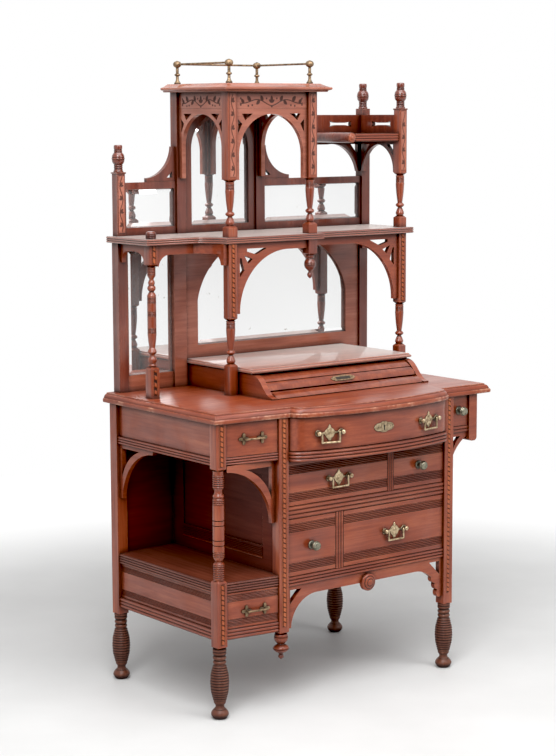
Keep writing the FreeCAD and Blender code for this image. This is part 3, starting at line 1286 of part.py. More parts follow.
def end_cove(name, plane, foot):
    """A coved bracket under one end of the swept apron; the column is at the origin."""
    return slab(name, plane, "apron_board", [
        ("0", "0"), ("0", "-sweep_cove"), (foot, "-sweep_cove", -COVE_SHARE), (f"{foot} + sweep_cove", "0"),
    ])


def fret(name, width, side, reach_share):
    """A spandrel pierced by three triangles that hangs from the shelf beside a column; side 1 has the
    column at the left and -1 at the right, and the origin is at the column."""
    def place(x, z):
        return (f"{side} * ({x})", z)
    reach = f"(({width}) * {reach_share})"
    arch_share = -0.205 * side
    outline = [
        place("0", "0"), place("0", "-fret_drop"), (*place("fret_edge", "-fret_drop"), arch_share),
        place(reach, "-fret_top"), place(width, "-fret_top"), place(width, "0"),
    ]
    hole_shares = [
        [(0.22, 0.083), (0.61, 0.083), (0.40, 0.172), (0.22, 0.122)],
        [(0.17, 0.178), (0.333, 0.233), (0.242, 0.30)],
        [(0.08, 0.215), (0.11, 0.21), (0.17, 0.39), (0.08, 0.483)],
    ]
    holes = [[place(f"{reach} * {x}", f"-fret_drop * {z}") for x, z in hole] for hole in hole_shares]
    return slab(name, "XZ", "apron_board", outline, *holes)


column_half = "(column_side / 2)"
end_apron = arched_apron("end_apron", "YZ", between(f"{left_column_y} + {column_half}", tier_front))
put(end_apron, f"{tier_left} - apron_board / 2", f"{left_column_y} + {column_half}", "shelf_underside")
right_end_apron = arched_apron("right_end_apron", "YZ",
                               between(f"{right_column_y} + {column_half}", tier_front))
put(right_end_apron, f"{tier_right} - apron_board / 2", f"{right_column_y} + {column_half}",
    "shelf_underside")
sweep_left = f"({tier_left} + {column_half})"
sweep_right = f"({canopy_left} - {column_half})"
sweep_low = f"({left_column_y} - apron_board / 2)"
sweep_high = f"({left_column_y} + apron_board / 2)"
column_low = f"({canopy_front} - apron_board / 2)"
column_high = f"({canopy_front} + apron_board / 2)"
turn_x = f"({sweep_right} - shelf_sweep)"
sweep_board = slab("sweep_board", "XY", "sweep_drop", [
    (sweep_left, sweep_low), (f"{turn_x} - apron_board", sweep_low, -SWEEP_BULGE_SHARE),
    (f"{sweep_right} - apron_board", column_high),
    (f"{sweep_right} - apron_board", column_low), (sweep_right, column_low),
    (sweep_right, column_high, SWEEP_BULGE_SHARE),
    (turn_x, sweep_high), (sweep_left, sweep_high),
])
sweep_under = "(shelf_underside - sweep_drop)"
put(sweep_board, z=sweep_under)
left_cove = put(end_cove("left_cove", "XZ", "(apron_board / 2)"), sweep_left, sweep_high, sweep_under)
right_cove = put(end_cove("right_cove", "YZ", "apron_board"), f"{sweep_right} - apron_board", column_low,
                 sweep_under)
sweep_apron = fuse("sweep_apron", [sweep_board, left_cove, right_cove])
fret_left = fret("fret_left", between(f"{canopy_left} + {column_half}", f"{canopy_right} - {half_tier}"), 1,
                 0.708)
put(fret_left, f"{canopy_left} + {column_half}", f"{canopy_front} + apron_board / 2", "shelf_underside")
fret_right = fret("fret_right", between(step_x, f"{tier_right} - {column_half}"), -1, 0.525)
put(fret_right, f"{tier_right} - {column_half}", f"{right_column_y} + apron_board / 2", "shelf_underside")
node("shelf_aprons", [end_apron, right_end_apron, sweep_apron, fret_left, fret_right])

# Finials and the shelf pendant
FINIAL_SHARES = [
    (0.00, 0.72, 0.2), (0.10, 0.60, 0), (0.13, 0.68, 0.2), (0.22, 0.62, 0), (0.25, 0.60, 0.28),
    (0.46, 1.00, 0.2),
    (0.72, 0.60, 0), (0.76, 0.58, 0), (0.84, 0.68, 0.2), (0.94, 0.60, 0), (1.00, 0.60, 0),
]
finials = []
for name, x, y, z in (
    ("left_finial", tier_left, middle_y, left_top), ("rear_right_finial", upper_right, middle_y, right_top),
    ("front_right_finial", tier_right, right_column_y, right_top),
):
    finials.append(put(turned(name, "finial_diameter", "finial_height", FINIAL_SHARES), x, y, z))
CAP_SHARES = [(0.0, 0.85, 0.3), (0.3, 0.85, 0), (0.36, 0.72, 0), (0.42, 0.95, 0.2), (0.75, 0.95, 0.2),
              (1.0, 0.60, 0)]
finials.append(put(turned("left_cap", "cap_diameter", "cap_height", CAP_SHARES), tier_left, left_column_y,
                   shelf_surface))
hang = "(shelf_underside - shelf_pendant_block)"
shelf_drop = turned("shelf_drop", "shelf_pendant_diameter", "shelf_pendant_height", DROP_SHARES)
put(shelf_drop, canopy_right, canopy_front, f"{hang} - shelf_pendant_height")
hanging = fuse("shelf_pendant", [
    square_post("shelf_pendant_square", canopy_right, canopy_front, hang, "shelf_underside", "tier_side"),
    shelf_drop])
node("finials", finials + [hanging])


# Canopy
def canopy_arch(name, plane, width):
    """A frieze over a round arch with pierced corners; its left end and its top are at the origin."""
    radius = f"(({width}) / 2 - canopy_arch_leg)"
    crown = "(-canopy_frieze - canopy_arch_crown)"
    spring = f"({crown} - {radius})"
    foot = f"({shelf_surface} + canopy_base_block + canopy_turning + canopy_arch_foot - canopy_underside)"
    outline = [
        ("0", "0"), ("0", foot), ("canopy_arch_leg", foot), ("canopy_arch_leg", spring, -QUARTER_BULGE_SHARE),
        (f"({width}) / 2", crown, -QUARTER_BULGE_SHARE), (f"{width} - canopy_arch_leg", spring),
        (f"{width} - canopy_arch_leg", foot), (width, foot), (width, "0"),
    ]
    holes = []
    top = "(-canopy_frieze - canopy_pierce_margin)"
    hole_shares = [[(0.45, 0), (1.75, 0), (0.85, 0.62)], [(0, 0.5), (0, 1.8), (0.5, 0.95)]]
    for side, edge in ((1, "0"), (-1, f"({width})")):
        inner = f"{edge} + {side} * canopy_pierce_margin"
        for hole in hole_shares:
            holes.append([(f"{inner} + {side} * canopy_pierce * {x}", f"{top} - canopy_pierce * {z}") for x,
                          z in hole])
    return slab(name, plane, "apron_board", outline, *holes)


arch_low_y = f"({canopy_front} + {half_tier})"
side_width = between(arch_low_y, tier_front)
front_arch = canopy_arch("front_arch", "XZ", between(canopy_in_left, canopy_in_right))
put(front_arch, canopy_in_left, f"{canopy_front} + apron_board / 2", "canopy_underside")
left_arch = canopy_arch("left_arch", "YZ", side_width)
put(left_arch, f"{canopy_left} - apron_board / 2", arch_low_y, "canopy_underside")
right_arch = canopy_arch("right_arch", "YZ", side_width)
put(right_arch, f"{canopy_right} - apron_board / 2", arch_low_y, "canopy_underside")
node("canopy_arches", [front_arch, left_arch, right_arch])

cornice = slab("cornice", "XY", "cornice_height", rectangle(
    (f"{canopy_out_left} - cornice_overhang", f"{canopy_out_right} + cornice_overhang"),
    (f"{canopy_face} - cornice_overhang", back)))
put(cornice, z="canopy_underside")
doc.recompute()
cornice_pad = cornice.Tip
cornice_edge = cornice.newObject("PartDesign::Chamfer", "cornice_moulding")
cornice_edge.Base = (cornice_pad, edges_at_height(cornice_pad.Shape, measure("cornice_height")))
cornice_edge.ChamferType = "Two distances"
bind(cornice_edge, Size="cornice_rise", Size2="cornice_slope")
node("canopy_cornice", [cornice])

# Brass gallery on three sides
GALLERY_SHARES = [
    (0.00, 0.95, 0), (0.06, 0.95, -0.1), (0.22, 0.42, 0), (0.34, 0.42, 0), (0.36, 0.66, 0.3), (0.44, 0.66, 0),
    (0.46, 0.42, 0), (0.70, 0.42, 0), (0.72, 0.60, 0.4), (0.98, 0.40, 0), (1.00, 0.20, 0),
]
cornice_top = "(canopy_underside + cornice_height)"
rail_z = f"({cornice_top} + gallery_height - gallery_ball / 2)"
gallery = []
for number, (x, y) in enumerate([
    (canopy_left, canopy_front), (canopy_right, canopy_front), (canopy_left, middle_y),
    (canopy_right, middle_y),
], start=1):
    post = turned("gallery_post_%d" % number, "gallery_ball", "gallery_height", GALLERY_SHARES)
    gallery.append(put(post, x, y, cornice_top))
ball_half = "(gallery_ball / 2)"
for name, x in (("gallery_left_rail", canopy_left), ("gallery_right_rail", canopy_right)):
    bar = rod(name, "gallery_rail_diameter", f"{between(canopy_front, middle_y)} - gallery_ball", AXIS_X, -90)
    gallery.append(put(bar, x, f"{canopy_front} + {ball_half}", rail_z))
bar = rod("gallery_back_rail", "gallery_rail_diameter", "canopy_spacing - gallery_ball", AXIS_Y, 90)
gallery.append(put(bar, f"{canopy_left} + {ball_half}", middle_y, rail_z))
node("brass_gallery", gallery)

# Corner shelf at the right
corner_left = f"({tier_right} - {column_half} - corner_shelf_width)"
corner_front = f"({right_column_y} - {column_half} + corner_shelf_setback)"
corner_top = "(corner_shelf_underside + corner_shelf_thickness)"
corner_board = slab("corner_board", "XY", "corner_shelf_thickness", [
    (corner_left, back), (corner_left, corner_front), (f"{tier_right} - {column_half}", corner_front),
    (f"{tier_right} - {column_half}", f"{right_column_y} + {column_half}"),
    (f"{tier_right} + apron_board / 2", f"{right_column_y} + {column_half}"),
    (f"{tier_right} + apron_board / 2", tier_front), (upper_right_x, tier_front), (upper_right_x, back),
])
put(corner_board, z="corner_shelf_underside")
roll = rod("corner_roll", "roll_diameter", f"{between(corner_front, tier_front)} + roll_proud", AXIS_X, -90)
put(roll, corner_left, f"{corner_front} - roll_proud", "corner_shelf_underside + corner_shelf_thickness / 2")
node("corner_shelf", [fuse("corner_shelf_whole", [corner_board, roll])])


# Pierced galleries and brackets of the upper tier
def dumb_bell(middle, level):
    """A cut-out with two round ends and a slim waist."""
    end = "(gallery_slot / 2)"
    tall = "(gallery_slot_height / 2)"
    slim = "(gallery_slot_waist / 2)"
    waist_share, end_share = -0.06, -0.2
    return [
        (f"{middle} - {end}", f"{level} - {tall}", waist_share), (middle, f"{level} - {slim}", waist_share),
        (f"{middle} + {end}", f"{level} - {tall}", end_share),
        (f"{middle} + {end}", f"{level} + {tall}", waist_share),
        (middle, f"{level} + {slim}", waist_share), (f"{middle} - {end}", f"{level} + {tall}", end_share),
    ]


def pierced_gallery(name, plane, width, shift):
    return slab(name, plane, "apron_board",
                rectangle(("0", width), ("0", "corner_gallery_height")),
                dumb_bell(f"({width}) / 2 + {shift} * slot_shift", "corner_gallery_height / 2"))


def quarter(name, side):
    """A hollow quarter bracket with a pierced corner; the origin is in the corner."""
    size = "quarter_bracket"
    rim = "bracket_leg"
    hollow_share, hole_share = -0.19 * side, 0.30
    return slab(name, "XZ", "apron_board", [
        ("0", "0"), (f"{side} * {size}", "0"), (f"{side} * {size}", rim, hollow_share),
        (f"{side} * {rim}", size),
        ("0", size),
    ], [
        (f"{side} * {rim}", rim), (f"{side} * {size} * {hole_share}", rim),
        (f"{side} * {rim}", f"{size} * {hole_share}"),
    ])


def corner_arch(name, plane, width, both):
    """A bracket under the corner shelf: a leg at its right end, and one at its left where both."""
    drop = "corner_bracket_drop"
    leg = "bracket_leg"
    hole_wide_share, hole_tall_share, cove_share = 0.3, 0.35, -0.2
    crown_share = 0.5 if both else 0.3
    hole_wide = f"{drop} * {hole_wide_share}"
    hole_foot = f"-{leg} - {drop} * {hole_tall_share}"
    holes = [[(f"{width} - {leg}", f"-{leg}"), (f"{width} - {leg} - {hole_wide}", f"-{leg}"),
              (f"{width} - {leg}", hole_foot)]]
    start = [("0", f"-{leg}")]
    if both:
        holes.append([(leg, f"-{leg}"), (f"{leg} + {hole_wide}", f"-{leg}"), (leg, hole_foot)])
        start = [("0", f"-{drop}"), (leg, f"-{drop}", cove_share)]
    outline = [
        ("0", "0"), *start, (f"({width}) * {crown_share}", f"-{leg}", cove_share),
        (f"{width} - {leg}", f"-{drop}"),
        (width, f"-{drop}"), (width, "0"),
    ]
    return slab(name, plane, "apron_board", outline, *holes)


gallery_y = f"({middle_y} + apron_board / 2)"
gallery_left = f"({corner_left} + roll_diameter / 2)"
back_width = between(gallery_left, upper_right_x)
right_start = f"{right_column_y} + {column_half}"
right_width = between(right_start, tier_front)
side_x = f"{tier_right} - apron_board / 2"
node("pierced_brackets", [
    put(pierced_gallery("back_gallery", "XZ", back_width, 1), gallery_left, gallery_y, corner_top),
    put(pierced_gallery("side_gallery", "YZ", right_width, -1), side_x, right_start, corner_top),
    put(corner_arch("back_bracket", "XZ", back_width, False), gallery_left, gallery_y,
        "corner_shelf_underside"),
    put(corner_arch("side_arch", "YZ", right_width, True), side_x, right_start, "corner_shelf_underside"),
    put(quarter("quarter_left", -1), canopy_out_left, gallery_y, small_top),
    put(quarter("quarter_right", 1), canopy_out_right, gallery_y, small_top),
])

# Check every object and write each node
doc.recompute()
faults = [thing.Name for thing in doc.Objects if "Invalid" in thing.State or "Error" in thing.State]
for name, thing in nodes.items():
    if thing.Shape.isNull() or not thing.Shape.isValid() or not thing.Shape.Solids:
        faults.append(name)
if faults:
    raise RuntimeError("failed: " + ", ".join(faults))
os.makedirs("parts", exist_ok=True)
for name, thing in nodes.items():
    thing.Shape.exportStep("parts/%s.step" % name)
print("%d nodes, %d solids" % (len(nodes), sum(len(thing.Shape.Solids) for thing in nodes.values())))
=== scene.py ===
import bpy
import math
import numpy as np
from mathutils import Matrix, Vector


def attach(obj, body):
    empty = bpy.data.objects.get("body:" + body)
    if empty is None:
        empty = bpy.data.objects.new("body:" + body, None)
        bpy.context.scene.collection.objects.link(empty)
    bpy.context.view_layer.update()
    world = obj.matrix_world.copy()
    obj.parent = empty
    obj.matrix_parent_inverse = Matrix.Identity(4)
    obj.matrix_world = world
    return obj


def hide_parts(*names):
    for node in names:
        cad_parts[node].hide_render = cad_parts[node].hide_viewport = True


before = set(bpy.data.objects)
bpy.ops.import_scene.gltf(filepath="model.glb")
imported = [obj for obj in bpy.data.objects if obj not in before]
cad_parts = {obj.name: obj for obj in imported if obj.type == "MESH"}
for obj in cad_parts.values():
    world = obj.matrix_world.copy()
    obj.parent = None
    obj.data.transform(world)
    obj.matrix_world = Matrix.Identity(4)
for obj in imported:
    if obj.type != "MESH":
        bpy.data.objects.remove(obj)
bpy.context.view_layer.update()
mm = 0.001  # every shape below is worked out in millimetres
print("frame loaded:", len(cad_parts), "nodes")


# finishes
def fill(tree, node, sockets):
    # each named input of a node takes a link, three numbers as an opaque colour, or a plain value
    for name, value in sockets.items():
        socket = node.inputs[name]
        if isinstance(value, bpy.types.NodeSocket):
            tree.links.new(value, socket)
        else:
            opaque = socket.type == "RGBA" and len(value) == 3
            socket.default_value = (*value, 1.0) if opaque else value


def addNode(tree, kind, sockets=None, **settings):
    # one shader node: settings are its own properties, sockets are what fills its inputs
    node = tree.nodes.new("ShaderNode" + kind)
    for name, value in settings.items():
        setattr(node, name, value)
    fill(tree, node, sockets or {})
    return node


def blendColour(tree, share, first, second):
    # colour = first mixed with second by share
    return addNode(tree, "Mix", {0: share, 6: first, 7: second}, data_type="RGBA").outputs[2]


def calculate(tree, operation, first, second=0.0, clamp=False):
    # one sum on two values
    return addNode(tree, "Math", {0: first, 1: second}, operation=operation, use_clamp=clamp).outputs[0]


def remap(tree, value, low, high, first=0.0, last=1.0, curve="LINEAR"):
    # first at low, last at high, a straight or smooth run between them, and held outside them
    sockets = {0: value, 1: low, 2: high, 3: first, 4: last}
    return addNode(tree, "MapRange", sockets, interpolation_type=curve).outputs[0]


def noise(tree, place, scale, detail, distortion=0.0):
    # cloudy noise from 0 to 1
    sockets = {"Vector": place, "Scale": scale, "Detail": detail, "Distortion": distortion}
    return addNode(tree, "TexNoise", sockets).outputs[0]


def stretched(tree, place, factors):
    # a place times three factors
    return addNode(tree, "VectorMath", {0: place, 1: factors}, operation="MULTIPLY").outputs[0]


def likeness(tree, first, second):
    # the sum of the products of two directions, which is 1 where they are alike
    return addNode(tree, "VectorMath", {0: first, 1: second}, operation="DOT_PRODUCT").outputs["Value"]


def startGroup(name, inputs, outputs):
    # an empty node group with vector inputs, float outputs and its two end nodes
    group = bpy.data.node_groups.new(name, "ShaderNodeTree")
    for label in inputs:
        group.interface.new_socket(name=label, in_out="INPUT", socket_type="NodeSocketVector")
    for label in outputs:
        group.interface.new_socket(name=label, in_out="OUTPUT", socket_type="NodeSocketFloat")
    return group, group.nodes.new("NodeGroupInput").outputs, group.nodes.new("NodeGroupOutput")


def startMaterial(name):
    # a new material: itself, its node tree, its shader and the object's own coordinates
    material = bpy.data.materials.new(name)
    material.use_nodes = True
    tree = material.node_tree
    return material, tree, tree.nodes["Principled BSDF"], addNode(tree, "TexCoord").outputs["Object"]


figureLook = dict(endFace=0.7, cloudDraw=(1, 7, 7), cloudScale=5.0, cloudDetail=3.0, cloudBend=0.5,
                  cloudShare=0.55, streakDraw=(2, 45, 45), streakDetail=4.0, streakShare=0.35,
                  fibreDraw=(8, 240, 240), fibreDetail=2.0, fineScale=4.0, ringScale=2.5, ringDetail=3.0,
                  ringBend=7.0, ringShare=0.10)


def makeFigureGroup(look):
    # tone = shares of clouds, streaks and wavy rings drawn out along local X; fibre = the finest streaks
    group, start, end = startGroup("woodFigure", ["Vector", "Grain"], ["Tone", "Fibre"])
    # on faces that look along the grain the pattern turns a quarter, as laid veneer does
    parts = addNode(group, "SeparateXYZ", {0: start["Vector"]}).outputs
    veneer = addNode(group, "CombineXYZ", {0: parts[1], 1: parts[0], 2: parts[2]}).outputs[0]
    normal = addNode(group, "NewGeometry").outputs["Normal"]
    alike = calculate(group, "ABSOLUTE", likeness(group, normal, start["Grain"]))
    endFace = calculate(group, "GREATER_THAN", alike, look["endFace"])
    place = addNode(group, "Mix", {0: endFace, 4: start["Vector"], 5: veneer},
                    data_type="VECTOR").outputs[1]
    drawn = stretched(group, place, look["cloudDraw"])
    cloud = noise(group, drawn, look["cloudScale"], look["cloudDetail"], look["cloudBend"])
    streak, fibre = (noise(group, stretched(group, place, look[name + "Draw"]), look["fineScale"],
                           look[name + "Detail"]) for name in ("streak", "fibre"))
    waves = {"Vector": drawn, "Scale": look["ringScale"], "Detail": look["ringDetail"],
             "Distortion": look["ringBend"]}
    rings = addNode(group, "TexWave", waves, bands_direction="Y").outputs["Fac"]
    tone = calculate(group, "MULTIPLY", cloud, look["cloudShare"])
    for part, share in ((streak, look["streakShare"]), (rings, look["ringShare"])):
        tone = calculate(group, "ADD", tone, calculate(group, "MULTIPLY", part, share))
    fill(group, end, {"Tone": tone, "Fibre": fibre})
    return group


wearAndShadeLook = dict(edgeRadius=0.0016, edgeGain=5.0, patchScale=90.0, patchDetail=3.0, patchSpan=(0.38, 0.66),
                stretchScale=11.0, stretchDetail=2.0, stretchSpan=(0.46, 0.60), smearScale=9.0,
                smearDetail=5.0, smearBend=0.8, smearSpan=(0.34, 0.62), leastPolish=0.45, hollowReach=0.016,
                hollowGain=1.9, deepReach=0.32, deepSpan=(0.12, 0.50), samples=4)


def makeWearAndShadeGroup(look):
    # worn = gain x (1 - likeness of the rounded and true normals) x patches; chips = patches x stretches;
    # hollow = gain x (1 - sky seen close by), dark polish and painted shade in creases;
    # deep shade = painted shade, by how little of the room is seen from farther off
    group, start, end = startGroup("wearDirtAndShade", ["Vector"], ["Worn", "Chips", "Polish", "Hollow", "DeepShade"])
    rounded = addNode(group, "Bevel", {"Radius": look["edgeRadius"]}, samples=look["samples"]).outputs[0]
    alike = likeness(group, rounded, addNode(group, "NewGeometry").outputs["Normal"])
    edge = calculate(group, "SUBTRACT", 1.0, alike)
    edge = calculate(group, "MULTIPLY", edge, look["edgeGain"], clamp=True)
    place = start["Vector"]
    patch, stretch = (remap(group, noise(group, place, look[name + "Scale"], look[name + "Detail"]),
                            *look[name + "Span"]) for name in ("patch", "stretch"))
    smear = noise(group, place, look["smearScale"], look["smearDetail"], look["smearBend"])
    sky, room = (addNode(group, "AmbientOcclusion", {"Distance": reach},
                         samples=look["samples"]).outputs["AO"]
                 for reach in (look["hollowReach"], look["deepReach"]))
    hollow = calculate(group, "SUBTRACT", 1.0, sky)
    fill(group, end, {"Worn": calculate(group, "MULTIPLY", edge, patch),
                      "Chips": calculate(group, "MULTIPLY", patch, stretch),
                      "Polish": remap(group, smear, *look["smearSpan"], look["leastPolish"], 1.0),
                      "Hollow": calculate(group, "MULTIPLY", hollow, look["hollowGain"], clamp=True),
                      "DeepShade": remap(group, room, *look["deepSpan"], 1.0, 0.0)})
    return group


figureGroup = makeFigureGroup(figureLook)
wearAndShadeGroup = makeWearAndShadeGroup(wearAndShadeLook)
grainTurn = {"x": (0.0, 0.0, 0.0), "y": (0.0, 0.0, math.pi / 2), "z": (0.0, math.pi / 2, 0.0)}
grainWay = {"x": (1, 0, 0), "y": (0, 1, 0), "z": (0, 0, 1)}
mahoganyLook = dict(dark=(0.145, 0.021, 0.007), mid=(0.245, 0.046, 0.016), light=(0.37, 0.090, 0.034),
                    worn=(0.62, 0.32, 0.20), dirt=(0.016, 0.003, 0.0015), wornShare=0.6, dirtShare=0.95,
                    rough=0.36, coat=0.8, coatRough=0.11, coatIor=1.5, shade=0.8, dust=0.0)
woodSurface = dict(darkStop=0.27, midStop=0.5, lightStop=0.73, poreSpan=(0.56, 0.72), poreShare=0.45,
                   wornToCut=0.2, toneSpan=(0.3, 0.7), darkRougher=0.07, lightSmoother=0.05,
                   dirtRougher=0.25, bump=0.12, bumpHeight=0.0005, dustRough=0.45,
                   dustTint=(1.0, 0.93, 0.88), specular=0.38)


def woodFinish(name, grain, **changes):
    # mahogany: figure sets the colour, fibres darken it, edges wear pale, hollows and cuts hold dark polish
    # and painted shade, and painted shade deepens farther inside
    look, surface = dict(mahoganyLook, **changes), woodSurface
    material, tree, shader, place = startMaterial(name)
    turned = addNode(tree, "Mapping", {"Vector": place, "Rotation": grainTurn[grain]}).outputs[0]
    laid = {"Vector": turned, "Grain": grainWay[grain]}
    figure = addNode(tree, "Group", laid, node_tree=figureGroup).outputs
    wearAndShade = addNode(tree, "Group", {"Vector": place}, node_tree=wearAndShadeGroup).outputs
    ramp = addNode(tree, "ValToRGB", {0: figure["Tone"]})
    stops = ramp.color_ramp.elements
    stops[0].position, stops[1].position = surface["darkStop"], surface["lightStop"]
    stops[0].color, stops[1].color = (*look["dark"], 1.0), (*look["light"], 1.0)
    stops.new(surface["midStop"]).color = (*look["mid"], 1.0)
    pores = remap(tree, figure["Fibre"], *surface["poreSpan"], 0.0, surface["poreShare"])
    colour = blendColour(tree, pores, ramp.outputs[0], look["dark"])
    cut = addNode(tree, "Attribute", attribute_name="cut").outputs["Fac"]  # dark polish and painted shade above 0, pale chips below 0
    chipped = calculate(tree, "MULTIPLY", cut, -1.0, clamp=True)
    chipped = calculate(tree, "MULTIPLY", chipped, wearAndShade["Chips"])
    whole = remap(tree, cut, 0.0, surface["wornToCut"], look["wornShare"], 0.0)
    worn = calculate(tree, "MAXIMUM", calculate(tree, "MULTIPLY", wearAndShade["Worn"], whole), chipped)
    colour = blendColour(tree, worn, colour, look["worn"])
    # hollows and marked grooves darken: dark polish and painted shade
    dirt = calculate(tree, "MULTIPLY", wearAndShade["Hollow"], look["dirtShare"])
    dirt = calculate(tree, "MAXIMUM", dirt, cut, clamp=True)
    colour = blendColour(tree, dirt, colour, look["dirt"])
    # painted shade, darker where little of the room is seen, as inside the bays and under things
    deepShade = calculate(tree, "MULTIPLY", wearAndShade["DeepShade"], look["shade"])
    rough = remap(tree, figure["Tone"], *surface["toneSpan"], look["rough"] + surface["darkRougher"],
                  look["rough"] - surface["lightSmoother"])
    rougher = calculate(tree, "MULTIPLY", dirt, surface["dirtRougher"])
    coat = remap(tree, dirt, 0.0, 1.0, look["coat"], 0.0)
    grooves = {"Height": figure["Fibre"], "Strength": surface["bump"], "Distance": surface["bumpHeight"]}
    fill(tree, shader, {"Base Color": blendColour(tree, deepShade, colour, look["dirt"]),
                        "Roughness": calculate(tree, "ADD", rough, rougher),
                        "Normal": addNode(tree, "Bump", grooves).outputs[0],
                        "Coat Weight": calculate(tree, "MULTIPLY", coat, wearAndShade["Polish"]),
                        "Coat Roughness": look["coatRough"], "Coat IOR": look["coatIor"],
                        "Sheen Weight": look["dust"], "Sheen Roughness": surface["dustRough"],
                        "Sheen Tint": surface["dustTint"], "Specular IOR Level": surface["specular"]})
    return material


# a paler copy of the mahogany for the upper stage, cornice, carving and lid: painted light and painted
# reflection haze
hazeLitLook = dict(dark=(0.195, 0.047, 0.025), mid=(0.34, 0.100, 0.056), light=(0.48, 0.170, 0.104), coat=1.0,
                 shade=0.35)
lidLook = dict(hazeLitLook, dust=1.0, shade=0.2, coatRough=0.05, coatIor=2.0)
wood = {axis: woodFinish("mahogany_" + axis, axis) for axis in "xyz"}
hazeLit = {axis: woodFinish("hazeLitMahogany_" + axis, axis, **hazeLitLook) for axis in "xz"}
lidWood = woodFinish("hazeLitDustyLid", "x", **lidLook)
topWood = woodFinish("dustyTop", "x", coat=1.0, dust=0.85, shade=0.3, coatRough=0.05, coatIor=1.9)
deskWood = woodFinish("deskMahogany", "x", coat=0.45, coatRough=0.24)
bayWood = woodFinish("bayMahogany", "y", dark=(0.09, 0.017, 0.008), mid=(0.155, 0.034, 0.016),
                     light=(0.24, 0.066, 0.034), coat=0.35, dust=0.04)
dustyWood = woodFinish("dustyMahogany", "z", dark=(0.075, 0.020, 0.010), mid=(0.13, 0.041, 0.022),
                       light=(0.20, 0.076, 0.045), worn=(0.46, 0.30, 0.22), wornShare=0.9, rough=0.46,
                       coat=0.12)
# a dark copy of the mahogany for the inside of the case: painted shade
shadedInnerWood = woodFinish("shadedInnerMahogany", "x", dark=(0.060, 0.006, 0.002), mid=(0.095, 0.012, 0.004),
                       light=(0.14, 0.022, 0.008), rough=0.5, coat=0.0, shade=0.95)
turnedWood = woodFinish("turnedMahogany", "z", dark=(0.135, 0.021, 0.008), mid=(0.235, 0.045, 0.016),
                        light=(0.36, 0.090, 0.035), coat=1.0, rough=0.30)
maroonWood = woodFinish("maroonMahogany", "z", dark=(0.085, 0.014, 0.007), mid=(0.15, 0.029, 0.014),
                        light=(0.24, 0.058, 0.029), coat=1.0, rough=0.30)
beadWood = woodFinish("beadMahogany", "z", dark=(0.24, 0.045, 0.012), mid=(0.37, 0.085, 0.024),
                      light=(0.49, 0.14, 0.046), wornShare=0.15, coat=0.4)
drawerWood = woodFinish("drawerWood", "y", dark=(0.24, 0.13, 0.065), mid=(0.36, 0.21, 0.11),
                        light=(0.46, 0.29, 0.16), worn=(0.58, 0.42, 0.27), dirt=(0.07, 0.035, 0.018),
                        rough=0.62, coat=0.0)
metalSurface = dict(cloudScale=120.0, cloudDetail=4.0, tarnishSpan=(0.42, 0.64), metal=0.95,
                    grimyMetal=0.25, brightSmoother=0.06, dullRougher=0.16, bump=0.10, bumpHeight=0.0004)


def metalFinish(name, bright, dull, grime, rough):
    # aged brass: cloudy tarnish dulls it, hollows hold grime, tarnish is rougher and grime less metallic
    surface = metalSurface
    material, tree, shader, place = startMaterial(name)
    wearAndShade = addNode(tree, "Group", {"Vector": place}, node_tree=wearAndShadeGroup).outputs
    cloud = noise(tree, place, surface["cloudScale"], surface["cloudDetail"])
    tarnish = remap(tree, cloud, *surface["tarnishSpan"])
    colour = blendColour(tree, tarnish, bright, dull)
    colour = blendColour(tree, wearAndShade["Worn"], colour, bright)
    # marked holes and slots take the grime colour as painted shade
    cut = addNode(tree, "Attribute", attribute_name="cut").outputs["Fac"]
    held = calculate(tree, "MAXIMUM", wearAndShade["Hollow"], cut)
    dents = {"Height": cloud, "Strength": surface["bump"], "Distance": surface["bumpHeight"]}
    fill(tree, shader, {"Base Color": blendColour(tree, held, colour, grime),
                        "Metallic": remap(tree, held, 0.0, 1.0, surface["metal"], surface["grimyMetal"]),
                        "Roughness": remap(tree, tarnish, 0.0, 1.0, rough - surface["brightSmoother"],
                                           rough + surface["dullRougher"]),
                        "Normal": addNode(tree, "Bump", dents).outputs[0]})
    return material


mirrorLook = dict(clear=(0.93, 0.94, 0.94), fox=(0.42, 0.38, 0.33), silver=0.86, speckScale=70.0,
                  speckDetail=5.0, speckSpan=(0.70, 0.80), smooth=0.015, foxRough=0.30)


def mirrorFinish(name, look):
    # old silvered glass: a bright metal under a thin grey bloom, with rare dull foxing specks
    material, tree, shader, place = startMaterial(name)
    fox = remap(tree, noise(tree, place, look["speckScale"], look["speckDetail"]), *look["speckSpan"])
    fill(tree, shader, {"Base Color": blendColour(tree, fox, look["clear"], look["fox"]),
                        "Roughness": remap(tree, fox, 0.0, 1.0, look["smooth"], look["foxRough"]),
                        "Metallic": look["silver"]})
    return material


brass = metalFinish("agedBrass", bright=(0.64, 0.50, 0.32), dull=(0.28, 0.20, 0.12),
                    grime=(0.035, 0.024, 0.014), rough=0.34)
dullBrass = metalFinish("dullBrass", bright=(0.30, 0.28, 0.21), dull=(0.15, 0.145, 0.11),
                        grime=(0.03, 0.03, 0.024), rough=0.34)
darkBrass = metalFinish("darkBrass", bright=(0.33, 0.225, 0.135), dull=(0.15, 0.105, 0.068),
                        grime=(0.03, 0.022, 0.016), rough=0.50)
silvering = mirrorFinish("silveredGlass", mirrorLook)
print("finishes made:", len(bpy.data.materials))


# shapes, each a dictionary of points, four-sided faces, end rings and the dark share at each point
def gridFaces(rows, columns, closed):
    # faces of a grid of points kept row by row; closed joins the last column to the first
    row, column = np.meshgrid(np.arange(rows - 1), np.arange(columns - (0 if closed else 1)), indexing="ij")
    beside = (column + 1) % columns
    return np.stack([row * columns + column, row * columns + beside,
                     (row + 1) * columns + beside, (row + 1) * columns + column], -1).reshape(-1, 4)


def stackedRings(points, rows, columns, cut):
    # a closed shape from rings of points, one over the other, with both end rings filled
    rings = [np.arange(columns)[::-1], (rows - 1) * columns + np.arange(columns)]
    return dict(points=points, quads=gridFaces(rows, columns, True), rings=rings, cut=cut)


